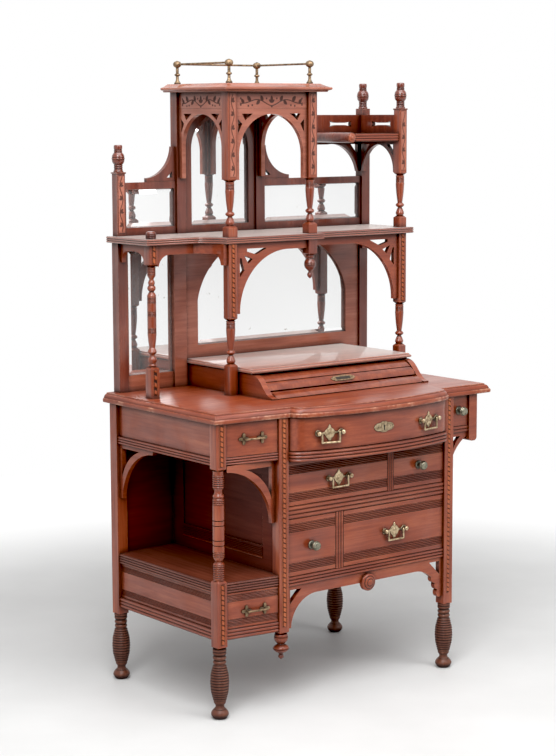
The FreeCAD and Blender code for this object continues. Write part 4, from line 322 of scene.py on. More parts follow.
def loftPost(rows, at=(0.0, 0.0), quarter=8):
    # rounded squares stacked up an axis: rows hold (height, half side, corner radius, dark share), and a
    # corner radius equal to the half side makes a circle
    height, half, corner, cut = np.asarray(rows, float).T
    turn = (np.arange(4 * quarter) + 0.5) * (np.pi / 2 / quarter)
    middle = np.floor(turn / (np.pi / 2)) * (np.pi / 2) + np.pi / 4
    reach = ((half - corner) * np.sqrt(2))[:, None]
    x = at[0] + reach * np.cos(middle) + corner[:, None] * np.cos(turn)
    y = at[1] + reach * np.sin(middle) + corner[:, None] * np.sin(turn)
    points = np.stack([x, y, np.broadcast_to(height[:, None], x.shape)], -1).reshape(-1, 3)
    return stackedRings(points, len(height), 4 * quarter, np.repeat(cut, 4 * quarter))


turning = dict(steps=8, darkest=1.5, darkFall=1.6, grooveLength=4.0, apart=1e-6)


def turnedRows(foot, stretches, chip=0.0):
    # a turning from the foot up: a stretch is (length, first radius, last radius[, swell[, beads]]), and
    # radius = straight run + swell x |sin|; dark polish and painted shade lie between beads and in short
    # grooves, and chip says how far the crests of beads may wear
    rows = []
    for length, first, last, *more in stretches:
        swell = more[0] if more else 0.0
        beads = more[1] if len(more) > 1 else 1
        share = np.linspace(0, 1, turning["steps"] * beads + 1 if swell else 2)
        wave = np.abs(np.sin(np.pi * beads * share))
        radius = first + (last - first) * share + swell * wave
        cut = 0 * wave
        if beads > 1:
            cut = np.clip(turning["darkest"] - turning["darkFall"] * wave, -chip, 1)
        elif swell < 0 and length < turning["grooveLength"]:
            cut = wave
        rows.append(np.stack([foot + length * share, radius, radius, cut], -1))
        foot += length
    rows = np.concatenate(rows)
    fresh = np.concatenate([[True], np.abs(np.diff(rows, axis=0)).sum(1) > turning["apart"]])
    return rows[fresh]


def squareRows(low, high, side, chamferLow, chamferHigh, arris):
    # a square length: half side = side / 2, drawn in by a chamfer at an end that has one
    half = side / 2
    rows = [(low + chamferLow, half, arris, 0), (high - chamferHigh, half, arris, 0)]
    if chamferLow:
        rows.insert(0, (low, half - chamferLow, arris, 0))
    if chamferHigh:
        rows.append((high, half - chamferHigh, arris, 0))
    return np.array(rows)


def rectangle(left, right, low, high):
    # four corners, anticlockwise from the lower left
    return np.array([(left, low), (right, low), (right, high), (left, high)], float)


def arcPoints(first, last, share, count):
    # a round arc from first to last that stands out on the right of the way by share x chord
    first, last = np.asarray(first, float), np.asarray(last, float)
    way = last - first
    chord = np.hypot(*way)
    way /= chord
    half = 2 * np.arctan(2 * share)
    radius = chord / 2 / np.sin(half)
    turn = np.linspace(-half, half, count)[:, None]
    outward = np.array([way[1], -way[0]])
    along, out = np.sin(turn), np.cos(turn) - np.cos(half)
    return (first + last) / 2 + way * radius * along + outward * radius * out


def alongEdge(edge, outward, least=1e-3):
    # how far to go along an edge to get 1 mm out from its neighbour: edge / (outward . edge)
    rate = (outward * edge).sum(1)
    return edge / np.where(np.abs(rate) < least, 1.0, rate)[:, None]


def edgedBoard(outline, shaped, rows):
    # a board from level outlines: each row is (inset, height, dark share), and each point moves in by
    # inset x the mitre of its two edges, or along the plain edge where only one of them is shaped
    outline = np.asarray(outline, float)
    ahead = np.roll(outline, -1, 0) - outline
    ahead /= np.linalg.norm(ahead, axis=1)[:, None]
    behind = np.roll(ahead, 1, 0)
    outAhead = np.stack([ahead[:, 1], -ahead[:, 0]], -1)
    outBehind = np.roll(outAhead, 1, 0)
    isAhead = np.asarray(shaped, bool)
    isBehind = np.roll(isAhead, 1)
    mitre = (outAhead + outBehind) / (1 + (outAhead * outBehind).sum(1))[:, None]
    oneSided = np.where(isBehind[:, None], alongEdge(ahead, outBehind),
                        np.where(isAhead[:, None], alongEdge(behind, outAhead), 0.0))
    move = np.where((isAhead & isBehind)[:, None], mitre, oneSided)
    rows = np.asarray(rows, float)
    inset, height = rows.T[:2]
    cut = rows[:, 2] if rows.shape[1] > 2 else np.zeros(len(rows))
    level = outline[None] - inset[:, None, None] * move[None]
    lift = np.broadcast_to(height[:, None, None], level.shape[:2] + (1,))
    points = np.concatenate([level, lift], -1).reshape(-1, 3)
    return stackedRings(points, len(height), len(outline), np.repeat(cut, len(outline)))


def pushProfile(profile, start, first, second, length, cut=None):
    # a profile in the plane of first and second, pushed by length along first x second
    profile, start = np.asarray(profile, float), np.asarray(start, float)
    first, second = np.asarray(first, float), np.asarray(second, float)
    flat = start + profile[:, :1] * first + profile[:, 1:] * second
    points = np.concatenate([flat, flat + np.cross(first, second) * length])
    cut = np.zeros(len(profile)) if cut is None else np.broadcast_to(cut, len(profile))
    return stackedRings(points, 2, len(profile), np.tile(cut, 2))


def reliefBoard(height, cut, width, tall, thick=0.3):
    # a board standing on (0, 0), facing local +Z, its face lifted by height on an even grid
    rows, columns = height.shape
    x, y = np.meshgrid(np.linspace(0, width, columns), np.linspace(0, tall, rows))
    face = np.stack([x, y, height], -1).reshape(-1, 3)
    index = np.arange(rows * columns).reshape(rows, columns)
    rim = np.concatenate([index[0, :-1], index[:-1, -1], index[-1, :0:-1], index[:0:-1, 0]])
    back = face[rim] * (1, 1, 0) - (0, 0, thick)
    under = rows * columns + np.arange(len(rim))
    side = np.stack([under, np.roll(under, -1), np.roll(rim, -1), rim], -1)
    return dict(points=np.concatenate([face, back]), rings=[under[::-1]],
                quads=np.concatenate([gridFaces(rows, columns, False), side]),
                cut=np.concatenate([cut.ravel(), np.zeros(len(rim))]))


turns = {"front": np.array([[1, 0, 0], [0, 0, -1], [0, 1, 0]]),
         "left": np.array([[0, 0, -1], [-1, 0, 0], [0, 1, 0]]),
         "right": np.array([[0, 0, 1], [1, 0, 0], [0, 1, 0]])}


def facing(shape, side, at, swing=0.0):
    # stands a shape that faces local +Z on a face of the desk; swing turns it about the upright
    points = shape["points"] @ turns[side].T
    along, over = math.cos(math.radians(swing)), math.sin(math.radians(swing))
    swung = points @ np.array([[along, -over, 0], [over, along, 0], [0, 0, 1]]).T
    return dict(shape, points=swung + np.asarray(at, float))


def makePiece(name, shapes, finish, replaced=(), body="carcass", sharp=32):
    # one mesh from several shapes: their points one after the other, their faces shifted to match
    starts = np.cumsum([0] + [len(shape["points"]) for shape in shapes])
    quads = np.concatenate([shape["quads"] + start for shape, start in zip(shapes, starts)])
    rings = [(ring + start).tolist() for shape, start in zip(shapes, starts) for ring in shape["rings"]]
    points, cut = (np.concatenate([shape[key] for shape in shapes]) for key in ("points", "cut"))
    mesh = bpy.data.meshes.new(name)
    mesh.from_pydata((points * mm).tolist(), [], quads.tolist() + rings)
    mesh.attributes.new("cut", "FLOAT", "POINT").data.foreach_set("value", cut)
    mesh.shade_smooth()
    mesh.set_sharp_from_angle(angle=math.radians(sharp))
    mesh.materials.append(finish)
    piece = bpy.data.objects.new(name, mesh)
    bpy.context.collection.objects.link(piece)
    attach(piece, body)
    if replaced:
        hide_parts(*replaced)
    return piece


reed = dict(steps=8, roundness=0.7, margin=0.01, dark=0.9, darkFall=0.8)


def reedRows(tall, count, rise, low=0.0):
    # half-round reeds up an edge as (inset, height, dark share), with a plain line at both ends:
    # inset = rise x (1 - |sin| ^ roundness)
    up = np.linspace(0, 1, reed["steps"] * count + 1)
    inset = 1 - np.abs(np.sin(np.pi * count * up)) ** reed["roundness"]
    height = low + tall * (reed["margin"] + (1 - 2 * reed["margin"]) * up)
    # the dark share is dark polish and painted shade in the valleys between reeds
    rows = np.stack([rise * inset, height, reed["dark"] * inset ** reed["darkFall"]], -1)
    return np.concatenate([[(rise, low, 0.0)], rows, [(rise, low + tall, 0.0)]])


def reededBoard(outline, shaped, tall, count, rise, low):
    # a board with reeds up its shaped edges
    return edgedBoard(outline, shaped, reedRows(tall, count, rise, low))


# the base
bow = dict(left=-233.0, right=290.0, apex=-284.0, rise=30.0, shoulder=31.0, shoulderShare=0.1348,
           shoulderPoints=9, points=49)


def bowLine(setback, left=bow["left"], right=bow["right"]):
    # the bowed front from left to right: shoulder arc, long arc, shoulder arc
    line, step = bow["apex"] + setback + bow["rise"], bow["shoulder"]
    share, few = bow["shoulderShare"], bow["shoulderPoints"]
    long = bow["rise"] / (right - left - 2 * step)
    return np.concatenate([arcPoints((left, line + step), (left + step, line), share, few)[:-1],
                           arcPoints((left + step, line), (right - step, line), long, bow["points"])[:-1],
                           arcPoints((right - step, line), (right, line + step), share, few)])


# edge rows are (inset, height, dark share): painted shade in the quirks of the moulding, pale chips below 0
deskTop = dict(left=((-449, 284), (-449, -204)), right=((449, -223), (449, 284)), setback=0.15, low=731.0,
               edge=[(4.0, 0.0, 0), (1.4, 0.8, -0.5), (0.3, 2.2, -0.9), (0.0, 4.2, -0.3), (0.0, 8.0, -0.3),
                     (0.5, 9.8, -0.9), (1.8, 11.2, -0.7), (3.2, 11.6, 0.5), (3.6, 13.6, 0.2),
                     (5.0, 17.0, 0), (7.6, 20.0, 0), (10.4, 21.6, 0), (11.6, 21.8, 0.4), (11.8, 23.4, -0.6),
                     (12.6, 24.6, -0.8), (14.0, 25.0, 0)])
deskLine = np.concatenate([deskTop["left"], bowLine(deskTop["setback"]), deskTop["right"]])
allButBack = np.arange(len(deskLine)) < len(deskLine) - 1
deskBoard = edgedBoard(deskLine, allButBack, np.array(deskTop["edge"]) + (0, deskTop["low"], 0))
makePiece("deskTop", [deskBoard], deskWood, ["desk_top"])

feet = dict(places=[(-425, -184), (305, -202), (-425, 251), (305, 251)], chip=0.1, quarter=12,
            turning=[(2, 14.5, 17.0), (21, 17.0, 16.0, 5.4), (1.5, 15.6, 14.6, -0.9), (2.5, 14.0, 12.0),
                     (9, 11.6, 11.6, -0.8), (9, 12.4, 15.0, 1.2), (24, 14.8, 20.9, 1.5, 4),
                     (22, 20.9, 22.4, 1.5, 3), (20, 22.4, 21.0, 1.5, 3), (24, 21.0, 15.0, 1.5, 4),
                     (3, 14.4, 13.0), (8, 14.6, 14.6, 1.6), (3, 13.2, 13.2, -1.0), (8, 15.0, 15.0, 1.6),
                     (4, 13.2, 13.2, -0.6), (15, 15.8, 16.4, 1.0, 2)])
footRows = turnedRows(0, feet["turning"], feet["chip"])
makePiece("feet", [loftPost(footRows, place, feet["quarter"]) for place in feet["places"]], dustyWood,
          ["turned_feet"])

dashes = dict(width=16.0, pitch=12.5, fullness=0.90, rowsPerDash=14, columns=25, slant=0.22, floor=0.1,
              rise=1.5, softEnd=0.2, half=0.56, softSide=0.09, borderIn=0.72, borderOut=0.995, softRim=0.08,
              borderRise=0.5, dark=0.96)


def frontStrip(x, face, low, high, width=dashes["width"], pitch=dashes["pitch"],
               fullness=dashes["fullness"]):
    # slanted dashes between plain borders on a front face: height = rise where a slanted saw is in a dash
    tall, fine = high - low, dashes["rowsPerDash"]
    rows = max(int(tall / pitch * fine), fine)
    across, up = np.meshgrid(np.linspace(-1, 1, dashes["columns"]), np.linspace(0, tall, rows))
    saw = np.abs(((up + across * width * dashes["slant"]) / pitch) % 1.0 - 0.5) * 2
    away = np.abs(across)
    dash = np.clip((fullness - saw) / dashes["softEnd"], 0, 1)
    dash = dash * np.clip((dashes["half"] - away) / dashes["softSide"], 0, 1)
    border = np.clip((away - dashes["borderIn"]) / dashes["softSide"], 0, 1)
    border = border * np.clip((dashes["borderOut"] - away) / dashes["softRim"], 0, 1)
    height = dashes["floor"] + dashes["rise"] * dash + dashes["borderRise"] * border
    # the low ground around the dashes and borders is painted dark: painted shade
    strip = reliefBoard(height, dashes["dark"] * (1 - np.maximum(dash, border)), width, tall)
    return facing(strip, "front", (x - width / 2, face, low))


groove = (2.4, 14.4, 14.4, -1.6)
leftPost = dict(at=(-425, -184), side=30.0, arris=3.0, lower=(176, 347), upper=(616, 731),
                chamfers=(4, 5, 5, 0), strips=((186, 338), (626, 727)),
                shaft=[(2, 13.2, 13.2), (36, 12.8, 12.8, 1.4, 7), (2, 13.4, 14.4), (6, 14.4, 8.4),
                       (12, 8.4, 14.4, 0.6), (13.2, 13.4, 13.4, 1.2, 3), (14, 14.6, 14.6), groove,
                       (10, 14.6, 14.6), groove, (34.2, 14.6, 14.6), groove, (10, 14.6, 14.6), groove,
                       (37, 14.6, 14.4), (14.4, 13.4, 13.4, 1.2, 3), (3, 13.6, 11.4), (8, 12.2, 12.2, 1.7),
                       (11, 11.4, 10.0, -1.2), (5, 10.0, 13.0), (32, 12.8, 12.8, 1.4, 6),
                       (9.6, 13.2, 13.2)])
side, arris, chamfers = leftPost["side"], leftPost["arris"], leftPost["chamfers"]
postRows = np.concatenate([squareRows(*leftPost["lower"], side, *chamfers[:2], arris),
                           turnedRows(leftPost["lower"][1], leftPost["shaft"]),
                           squareRows(*leftPost["upper"], side, *chamfers[2:], arris)])
makePiece("frontLeftPost", [loftPost(postRows, leftPost["at"])], wood["z"], ["front_left_post"])
x, face = leftPost["at"][0], leftPost["at"][1] - side / 2
makePiece("frontLeftBeading", [frontStrip(x, face, *strip) for strip in leftPost["strips"]], beadWood)

pendant = dict(at=(-248, -202), block=(186.0, 731.0, 30.0, 6, 0, 2.0), strip=(-248, -217, 206, 728),
               dropLow=121, dropDark=0.3, rightStrip=(305.0, -216.2, 208.0, 728.0),
               drop=[(13, 1.5, 4.5, 4.2), (3, 4.8, 5.8), (11, 7.0, 20.2, 2.2), (1.6, 20.6, 20.6, -1.2),
                     (10, 20.2, 10.2, 2.8), (3, 9.6, 9.6, -0.6), (15.6, 10.4, 17.4, 2.8),
                     (2, 17.6, 17.6, -1.4), (5.8, 17.2, 15.6, 0.4)])
dropRows = turnedRows(pendant["dropLow"], pendant["drop"])
dropRows[:, 3] = np.maximum(dropRows[:, 3], pendant["dropDark"])
pendantRows = np.concatenate([dropRows, squareRows(*pendant["block"])])
makePiece("pendantPost", [loftPost(pendantRows, pendant["at"])], wood["z"], ["pendant_post"])
makePiece("bayBeading", [frontStrip(*pendant["strip"]), frontStrip(*pendant["rightStrip"])], beadWood)
print("desk top, feet and posts made")

rails = dict(reeds=3, rise=3.0, bowSetback=6.0, bowLow=620.0, bowTall=26.0, face=-213.5, back=-187.0,
             straight=((303.0, 25.0), (474.0, 32.0)), lesserRise=2.4, sideX=(-437.0, -413.0),
             sideY=(-169.0, 236.0), sideRows=((195.0, 26.0), (627.0, 20.0)),
             canted=((-410, -171), (-410, -195), (-263, -213), (-263, -189)), cantedShaped=(0, 1, 0, 0),
             cantilever=(320.0, 387.0, -203.0, -179.0), cantileverRow=(629.0, 18.0), cantileverReeds=2,
             dividers=((95.0, 115.0, 506.0, 620.0), (-79.0, -53.0, 328.0, 474.0)), dividerRise=2.5,
             dividerFace=-213.0, dividerBack=246.0)
reeds, rise, lesser, frontOnly = rails["reeds"], rails["rise"], rails["lesserRise"], [1, 0, 0, 0]
bowRail = np.concatenate([bowLine(rails["bowSetback"]),
                          [(bow["right"], rails["back"]), (bow["left"], rails["back"])]])
bowShaped = np.arange(len(bowRail)) < len(bowRail) - 3
railShapes = [reededBoard(bowRail, bowShaped, rails["bowTall"], reeds, rise, rails["bowLow"])]
straight = rectangle(bow["left"], bow["right"], rails["face"], rails["back"])
railShapes += [reededBoard(straight, frontOnly, tall, reeds, rise, low) for low, tall in rails["straight"]]
sideRail = np.roll(rectangle(*rails["sideX"], *rails["sideY"]), 1, 0)
for low, tall in rails["sideRows"]:
    railShapes.append(reededBoard(sideRail, frontOnly, tall, reeds, lesser, low))
    railShapes.append(reededBoard(rails["canted"], rails["cantedShaped"], tall, reeds, lesser, low))
low, tall = rails["cantileverRow"]
shortRail = rectangle(*rails["cantilever"])
railShapes.append(reededBoard(shortRail, frontOnly, tall, rails["cantileverReeds"], lesser, low))
for left, right, low, high in rails["dividers"]:
    inset, across, dark = reedRows(right - left, reeds, rails["dividerRise"]).T
    profile = np.concatenate([np.stack([left + across, rails["dividerFace"] + inset], -1),
                              [(right, rails["dividerBack"]), (left, rails["dividerBack"])]])
    railShapes.append(pushProfile(profile, (0, 0, low), (1, 0, 0), (0, 1, 0), high - low,
                                  np.append(dark, (0, 0))))
makePiece("mouldedRails", railShapes, wood["x"], ["moulded_rails"])

banded = dict(reeds=5, steps=6, arris=0.8, leastDark=0.2, darkGain=0.7, plain=0.05, past=0.5)


def bandedBoard(low, high, bands, look, start, inward, length):
    # a front whose section, (back from the face, height), goes up the back and down the face; in the bands
    # back = sink - rise x |sin|, and dark polish and painted shade lie there by back / sink
    sink, arris, count = look["sink"], banded["arris"], banded["reeds"]
    section = [(look["thick"], low), (look["thick"], high), (arris, high), (0.0, high - arris)]
    up = np.linspace(0, 1, banded["steps"] * count + 1)
    back = sink - look["rise"] * np.abs(np.sin(np.pi * count * up))
    for top, bottom in bands:
        section += [(0.0, top), *zip(back, top - up * (top - bottom)), (0.0, bottom)]
    section = np.array(section + [(0.0, low + arris), (arris, low)])
    sunk = (section[:, 0] > banded["plain"]) & (section[:, 0] < sink + banded["past"])
    dark = banded["leastDark"] + banded["darkGain"] * np.clip(section[:, 0] / sink, 0, 1)
    return pushProfile(section, start, inward, (0, 0, 1), length, np.where(sunk, dark, 0.0))


drawers = dict(face=-211.0, thick=20.0, sink=2.2, rise=2.0, edge=11.0, band=22.0,
               fronts={"second_wide": (-232, 94, 507, 619), "second_small": (116, 289, 507, 619),
                       "third_small": (-232, -80, 329, 473), "third_wide": (-52, 289, 329, 473)})
near, far = drawers["edge"], drawers["edge"] + drawers["band"]
for name, (left, right, low, high) in drawers["fronts"].items():
    bands = ((high - near, high - far), (low + far, low + near))
    front = bandedBoard(low, high, bands, drawers, (left, drawers["face"], 0), (0, 1, 0), right - left)
    makePiece(name + "Front", [front], wood["x"], [name + "_drawer_front"], name + "_drawer")

lowerLeft = dict(first=(-409.0, -193.0), last=(-264.0, -211.0), low=222.0, high=311.0,
                 bands=((307, 289), (246, 228)), thick=20.0, sink=2.0, rise=1.7)
way = np.subtract(lowerLeft["last"], lowerLeft["first"])
length = np.linalg.norm(way)
inward = (-way[1] / length, way[0] / length, 0)
front = bandedBoard(lowerLeft["low"], lowerLeft["high"], lowerLeft["bands"], lowerLeft,
                    (*lowerLeft["first"], 0), inward, length)
makePiece("lowerLeftFront", [front], wood["x"], ["lower_left_drawer_front"], "lower_left_drawer")
sidePanels = dict(x=-431.0, back=236.0, length=405.0, thick=12.0, sink=2.0, rise=1.7,
                  rows=((221.0, 312.0, ((306, 290), (244, 228))), (647.0, 731.0, ())))
start = (sidePanels["x"], sidePanels["back"], 0)
panels = [bandedBoard(*row, sidePanels, start, (1, 0, 0), sidePanels["length"])
          for row in sidePanels["rows"]]
makePiece("leftSidePanels", panels, wood["y"], ["left_side_panels"])

bayShelf = dict(line=((-437, 236), (-437, -169), (-410, -169), (-410, -195), (-263, -213), (-263, -187),
                      (-257, -187), (-257, 246), (-410, 246), (-410, 236)),
                shapedEdges=(0, 3), low=312.0, tall=26.0, reeds=4, rise=2.6)
shaped = np.isin(np.arange(len(bayShelf["line"])), bayShelf["shapedEdges"])
shelf = reededBoard(bayShelf["line"], shaped, bayShelf["tall"], bayShelf["reeds"], bayShelf["rise"],
                    bayShelf["low"])
makePiece("bayShelf", [shelf], bayWood, ["left_bay_shelf"])

bowFront = dict(setback=12.0, inset=1.0, low=647.0, high=730.0, thick=20.0, arris=1.0)
outer = bowLine(bowFront["setback"], bow["left"] + bowFront["inset"], bow["right"] - bowFront["inset"])
bowRing = np.concatenate([outer, outer[::-1] + (0, bowFront["thick"])])
low, high, arris = bowFront["low"], bowFront["high"], bowFront["arris"]
front = edgedBoard(bowRing, np.arange(len(bowRing)) < len(outer) - 1,
                   [(arris, low), (0.0, low + arris), (0.0, high - arris), (arris, high)])
makePiece("bowDrawerFront", [front], wood["x"], ["bow_drawer_front"], "bow_drawer")

rosette = dict(at=(28.5, -206.0, 277.0), quarter=10,
               turning=[(9, 22.4, 22.4), (3.6, 22.4, 18.6, 1.0), (0.8, 18.4, 15.4, -1.0),
                        (2.4, 15.2, 11.6, 1.0), (0.8, 11.4, 8.4, -1.0), (2.2, 8.2, 0.6, 1.8)])
disc = loftPost(turnedRows(0, rosette["turning"]), quarter=rosette["quarter"])
makePiece("apronRosette", [facing(disc, "front", rosette["at"])], wood["x"], ["apron_rosette"])
print("rails, drawer fronts and rosette made")

# the upper stage
vaseTurning = [(2, 9.6, 10.8), (8, 10.8, 10.4, 0.9), (9, 10.2, 6.4, 0.4), (3, 6.2, 6.2, -0.6),
               (11, 7.8, 7.8, 4.0), (3, 6.9, 6.6), (46, 6.8, 11.6, 0.7), (7, 11.7, 11.4, 0.3),
               (14, 10.7, 10.7, 1.0, 4), (5, 11.0, 12.0)]
ringedTurning = [(3, 10.5, 10.5, 0.6), (4, 9.5, 7.6, -0.5), (18, 8.4, 7.4, 3.4), (4, 6.4, 6.4, -0.4),
                 (7, 6.6, 11.8, 0.4), (11, 11.6, 7.4, 0.3), (33, 7.5, 11.2, 0.5), (3, 11.4, 11.4),
                 (14, 10.6, 10.6, 1.0, 4), (28, 11.4, 11.4), (14, 10.6, 10.6, 1.0, 4), (19.5, 11.4, 11.4),
                 (17, 10.6, 10.6, 1.0, 5), (3, 11.4, 11.4), (8, 11.3, 7.0, 0.3), (3.8, 6.5, 6.5, -0.4),
                 (13.4, 7.6, 7.6, 3.2), (14, 6.8, 5.9, 2.3), (3.3, 5.7, 5.7), (7.8, 5.9, 10.4, 0.2),
                 (19.5, 9.9, 9.9, 1.0, 5), (1.7, 10.4, 12.0)]
lowerColumn = dict(side=26.0, base=(756, 838), block=(946, 1143), turning=vaseTurning)
canopyColumn = dict(side=28.0, base=(1159, 1190), block=(1298, 1524), turning=vaseTurning)
columns = dict(left=dict(lowerColumn, at=(-402, 124), block=(1088, 1143), turning=ringedTurning),
               front=dict(lowerColumn, at=(-215, 43)), right=dict(lowerColumn, at=(407, 96)),
               canopyLeft=dict(canopyColumn, at=(-215, 43)), canopyRight=dict(canopyColumn, at=(45, 43)),
               corner=dict(lowerColumn, at=(407, 96), base=(1159, 1192), block=(1300, 1478)))
columnEnds = dict(chamfer=7, arris=1.6)


def columnPost(column):
    # base block with a chamfered top, the turning, and the upper block with a chamfered foot
    side, chamfer, arris = column["side"], columnEnds["chamfer"], columnEnds["arris"]
    return loftPost(np.concatenate([squareRows(*column["base"], side, 0, chamfer, arris),
                                    turnedRows(column["base"][1], column["turning"]),
                                    squareRows(*column["block"], side, chamfer, 0, arris)]), column["at"])


makePiece("turnedColumns", [columnPost(column) for column in columns.values()], turnedWood,
          ["turned_columns"])
columnBeads = dict(width=14.0, sink=0.1, runs=(("left", 1096, 1142, 16.0, 0.9),
                                               ("front", 956, 1142, 12.5, 0.9),
                                               ("right", 956, 1142, 12.5, 0.9),
                                               ("left", 762, 828, 19.0, 0.62)))
beadShapes = []
for name, low, high, pitch, fullness in columnBeads["runs"]:
    x, y = columns[name]["at"]
    face = y - columns[name]["side"] / 2 + columnBeads["sink"]
    beadShapes.append(frontStrip(x, face, low, high, columnBeads["width"], pitch, fullness))
makePiece("columnBeading", beadShapes, beadWood)

finials = dict(places=((-402, 267, 1318), (419, 267, 1478), (407, 96, 1478)), plate=4.0,
               plateShape=(29.0, 1, 1, 1.0), quarter=10, cap=(-402, 124), capLow=1159,
               capTurning=[(2, 12.5, 12.5), (12, 12.6, 12.6, 1.0, 3), (4, 12.6, 9.0, 0.6)],
               turning=[(5, 12.4, 11.6, 0.8), (14, 10.2, 10.2, 1.3, 3), (12, 10.8, 16.2, 1.6),
                        (1.4, 16.4, 16.4, -1.0), (4.2, 16.6, 16.6, 0.4), (1.4, 16.4, 16.4, -1.0),
                        (12, 16.2, 10.4, 1.6), (6, 9.8, 9.8, 1.2, 2), (2, 9.4, 10.6), (9, 10.6, 10.8, 0.4),
                        (2, 10.8, 9.0, 0.3)],
               drop=(45, 43), dropLow=1041, dropBlock=(1101, 1143, 28.0, 6, 0, 1.6),
               dropTurning=[(17, 1.2, 3.5, 5.0), (3, 3.9, 4.6), (5, 5.2, 10.4, 0.5), (9, 10.8, 15.0, 0.8),
                            (1.6, 15.2, 15.2, -1.2), (3, 15.2, 15.2, 0.4), (1.6, 15.2, 15.2, -1.2),
                            (10, 15.0, 10.6, 1.0), (4, 10.2, 10.2, -0.8), (5.8, 11.0, 11.6, 0.6)])
finialShapes = []
for x, y, low in finials["places"]:
    top = low + finials["plate"]
    rows = np.concatenate([squareRows(low, top, *finials["plateShape"]),
                           turnedRows(top, finials["turning"])])
    finialShapes.append(loftPost(rows, (x, y), finials["quarter"]))
finialShapes.append(loftPost(turnedRows(finials["capLow"], finials["capTurning"]), finials["cap"],
                             finials["quarter"]))
rows = np.concatenate([turnedRows(finials["dropLow"], finials["dropTurning"]),
                       squareRows(*finials["dropBlock"])])
finialShapes.append(loftPost(rows, finials["drop"]))
makePiece("finials", finialShapes, maroonWood, ["finials"])

midShelf = dict(leftEnd=((-431, 284), (-431, 99)), sweep=((-275, 99), (-239, 25)), sweepShare=-0.1,
                sweepPoints=13, rightEnd=((80, 25), (80, 71), (436, 71), (436, 284)), low=1143.0, tall=16.0,
                reeds=3, rise=2.4)
sweep = arcPoints(*midShelf["sweep"], midShelf["sweepShare"], midShelf["sweepPoints"])
shelfLine = np.concatenate([midShelf["leftEnd"], sweep, midShelf["rightEnd"]])
shaped = np.arange(len(shelfLine)) < len(shelfLine) - 1
shelf = reededBoard(shelfLine, shaped, midShelf["tall"], midShelf["reeds"], midShelf["rise"],
                    midShelf["low"])
makePiece("midShelf", [shelf], topWood, ["mid_shelf"])

cornice = dict(line=((-257, 284), (-257, 1), (87, 1), (87, 284)), low=1524.0,
               edge=[(9.0, 0.0), (8.6, 2.0), (6.6, 4.0), (3.4, 5.0), (2.4, 5.2), (0.8, 6.0), (0.0, 7.6),
                     (0.0, 9.6), (0.9, 11.4), (2.8, 12.0), (4.4, 12.2), (12.0, 15.4), (20.0, 19.6),
                     (22.0, 21.0)])
threeSides = [1, 1, 1, 0]
corniceBoard = edgedBoard(cornice["line"], threeSides, np.array(cornice["edge"]) + (0, cornice["low"]))
makePiece("canopyCornice", [corniceBoard], hazeLit["x"], ["canopy_cornice"])
print("columns, finials, shelf and cornice made")

mirrors = dict(back=270.0, thick=4.0, bevel=12.0, drop=1.6, board=3.0, gap=0.2, arcPoints=25, sharp=1,
               lowerSide=(-382, -242, 797, 1123), lowerArch=(-162, 350, 861, 981, 1123, -31, 219),
               upperLeft=(-385, -234, 1179, 1277), upperRight=(64, 400, 1179, 1277),
               canopyArch=(-179, 9, 1179, 1377, 1471, -85, -85))


def archOutline(left, right, low, spring, crown, flatLeft, flatRight):
    # an upright opening: straight sides, quarter-ellipse shoulders and, where there is one, a flat between
    turn = np.linspace(0, np.pi / 2, mirrors["arcPoints"])
    rightArc = np.stack([flatRight + (right - flatRight) * np.cos(turn),
                         spring + (crown - spring) * np.sin(turn)], -1)
    leftArc = np.stack([flatLeft - (flatLeft - left) * np.sin(turn),
                        spring + (crown - spring) * np.cos(turn)], -1)
    return np.concatenate([[(left, low), (right, low)], rightArc,
                           leftArc[1 if flatLeft == flatRight else 0:]])


plates = [rectangle(*mirrors["lowerSide"]), archOutline(*mirrors["lowerArch"]),
          rectangle(*mirrors["upperLeft"]), rectangle(*mirrors["upperRight"]),
          archOutline(*mirrors["canopyArch"])]
glass = [(0, 0), (0, mirrors["thick"] - mirrors["drop"]), (mirrors["bevel"], mirrors["thick"])]
board = [(mirrors["gap"], 0), (mirrors["gap"], mirrors["board"])]
behindGlass = mirrors["back"] + mirrors["gap"] + mirrors["board"]
plateShapes, backShapes = ([facing(edgedBoard(plate, np.ones(len(plate)), rows), "front", (0, y, 0))
                            for plate in plates]
                           for rows, y in ((glass, mirrors["back"]), (board, behindGlass)))
makePiece("mirrorPlates", plateShapes, silvering, ["mirror_plates"],
          sharp=mirrors["sharp"])
makePiece("mirrorBacks", backShapes, wood["x"])
print("mirrors made")

# the writing box: ogee cheeks, three slats between them, and a moulded lid
# lid edge rows are (inset, height, dark share): painted shade in the quirks of the moulding, pale chips
# below 0
writingBox = dict(left=-195.0, right=335.0, cheek=17.0, front=-103.0, slope=81.0, back=259.0,
                  backThick=10.0, low=756.0, high=812.0, toe=4.0, sway=0.125, cheekPoints=33,
                  lid=((-201, 259), (-201, -28), (341, -28), (341, 259)),
                  lidEdge=[(9.0, 0.0, 0), (8.6, 2.4, 0.9), (6.0, 3.4, 0.9), (2.6, 3.8, 0), (0.7, 4.8, 0),
                           (0.0, 7.0, -0.2), (0.3, 9.0, -0.3), (1.6, 10.4, 0), (3.6, 10.8, 0.7),
                           (4.0, 12.4, 0.2), (5.2, 14.2, -0.4), (7.0, 15.0, 0)])
slats = dict(shares=((0.03, 0.365), (0.40, 0.605), (0.635, 1.0)), thick=6.0, sink=2.6, crown=2.4, points=9,
             dark=0.12, clear=0.8, sideGap=1.0, backShares=(0.05, 0.95), backPoints=25,
             backShift=(10.0, -5.5), backThick=5.0, backingShade=0.95, backGap=2.0)


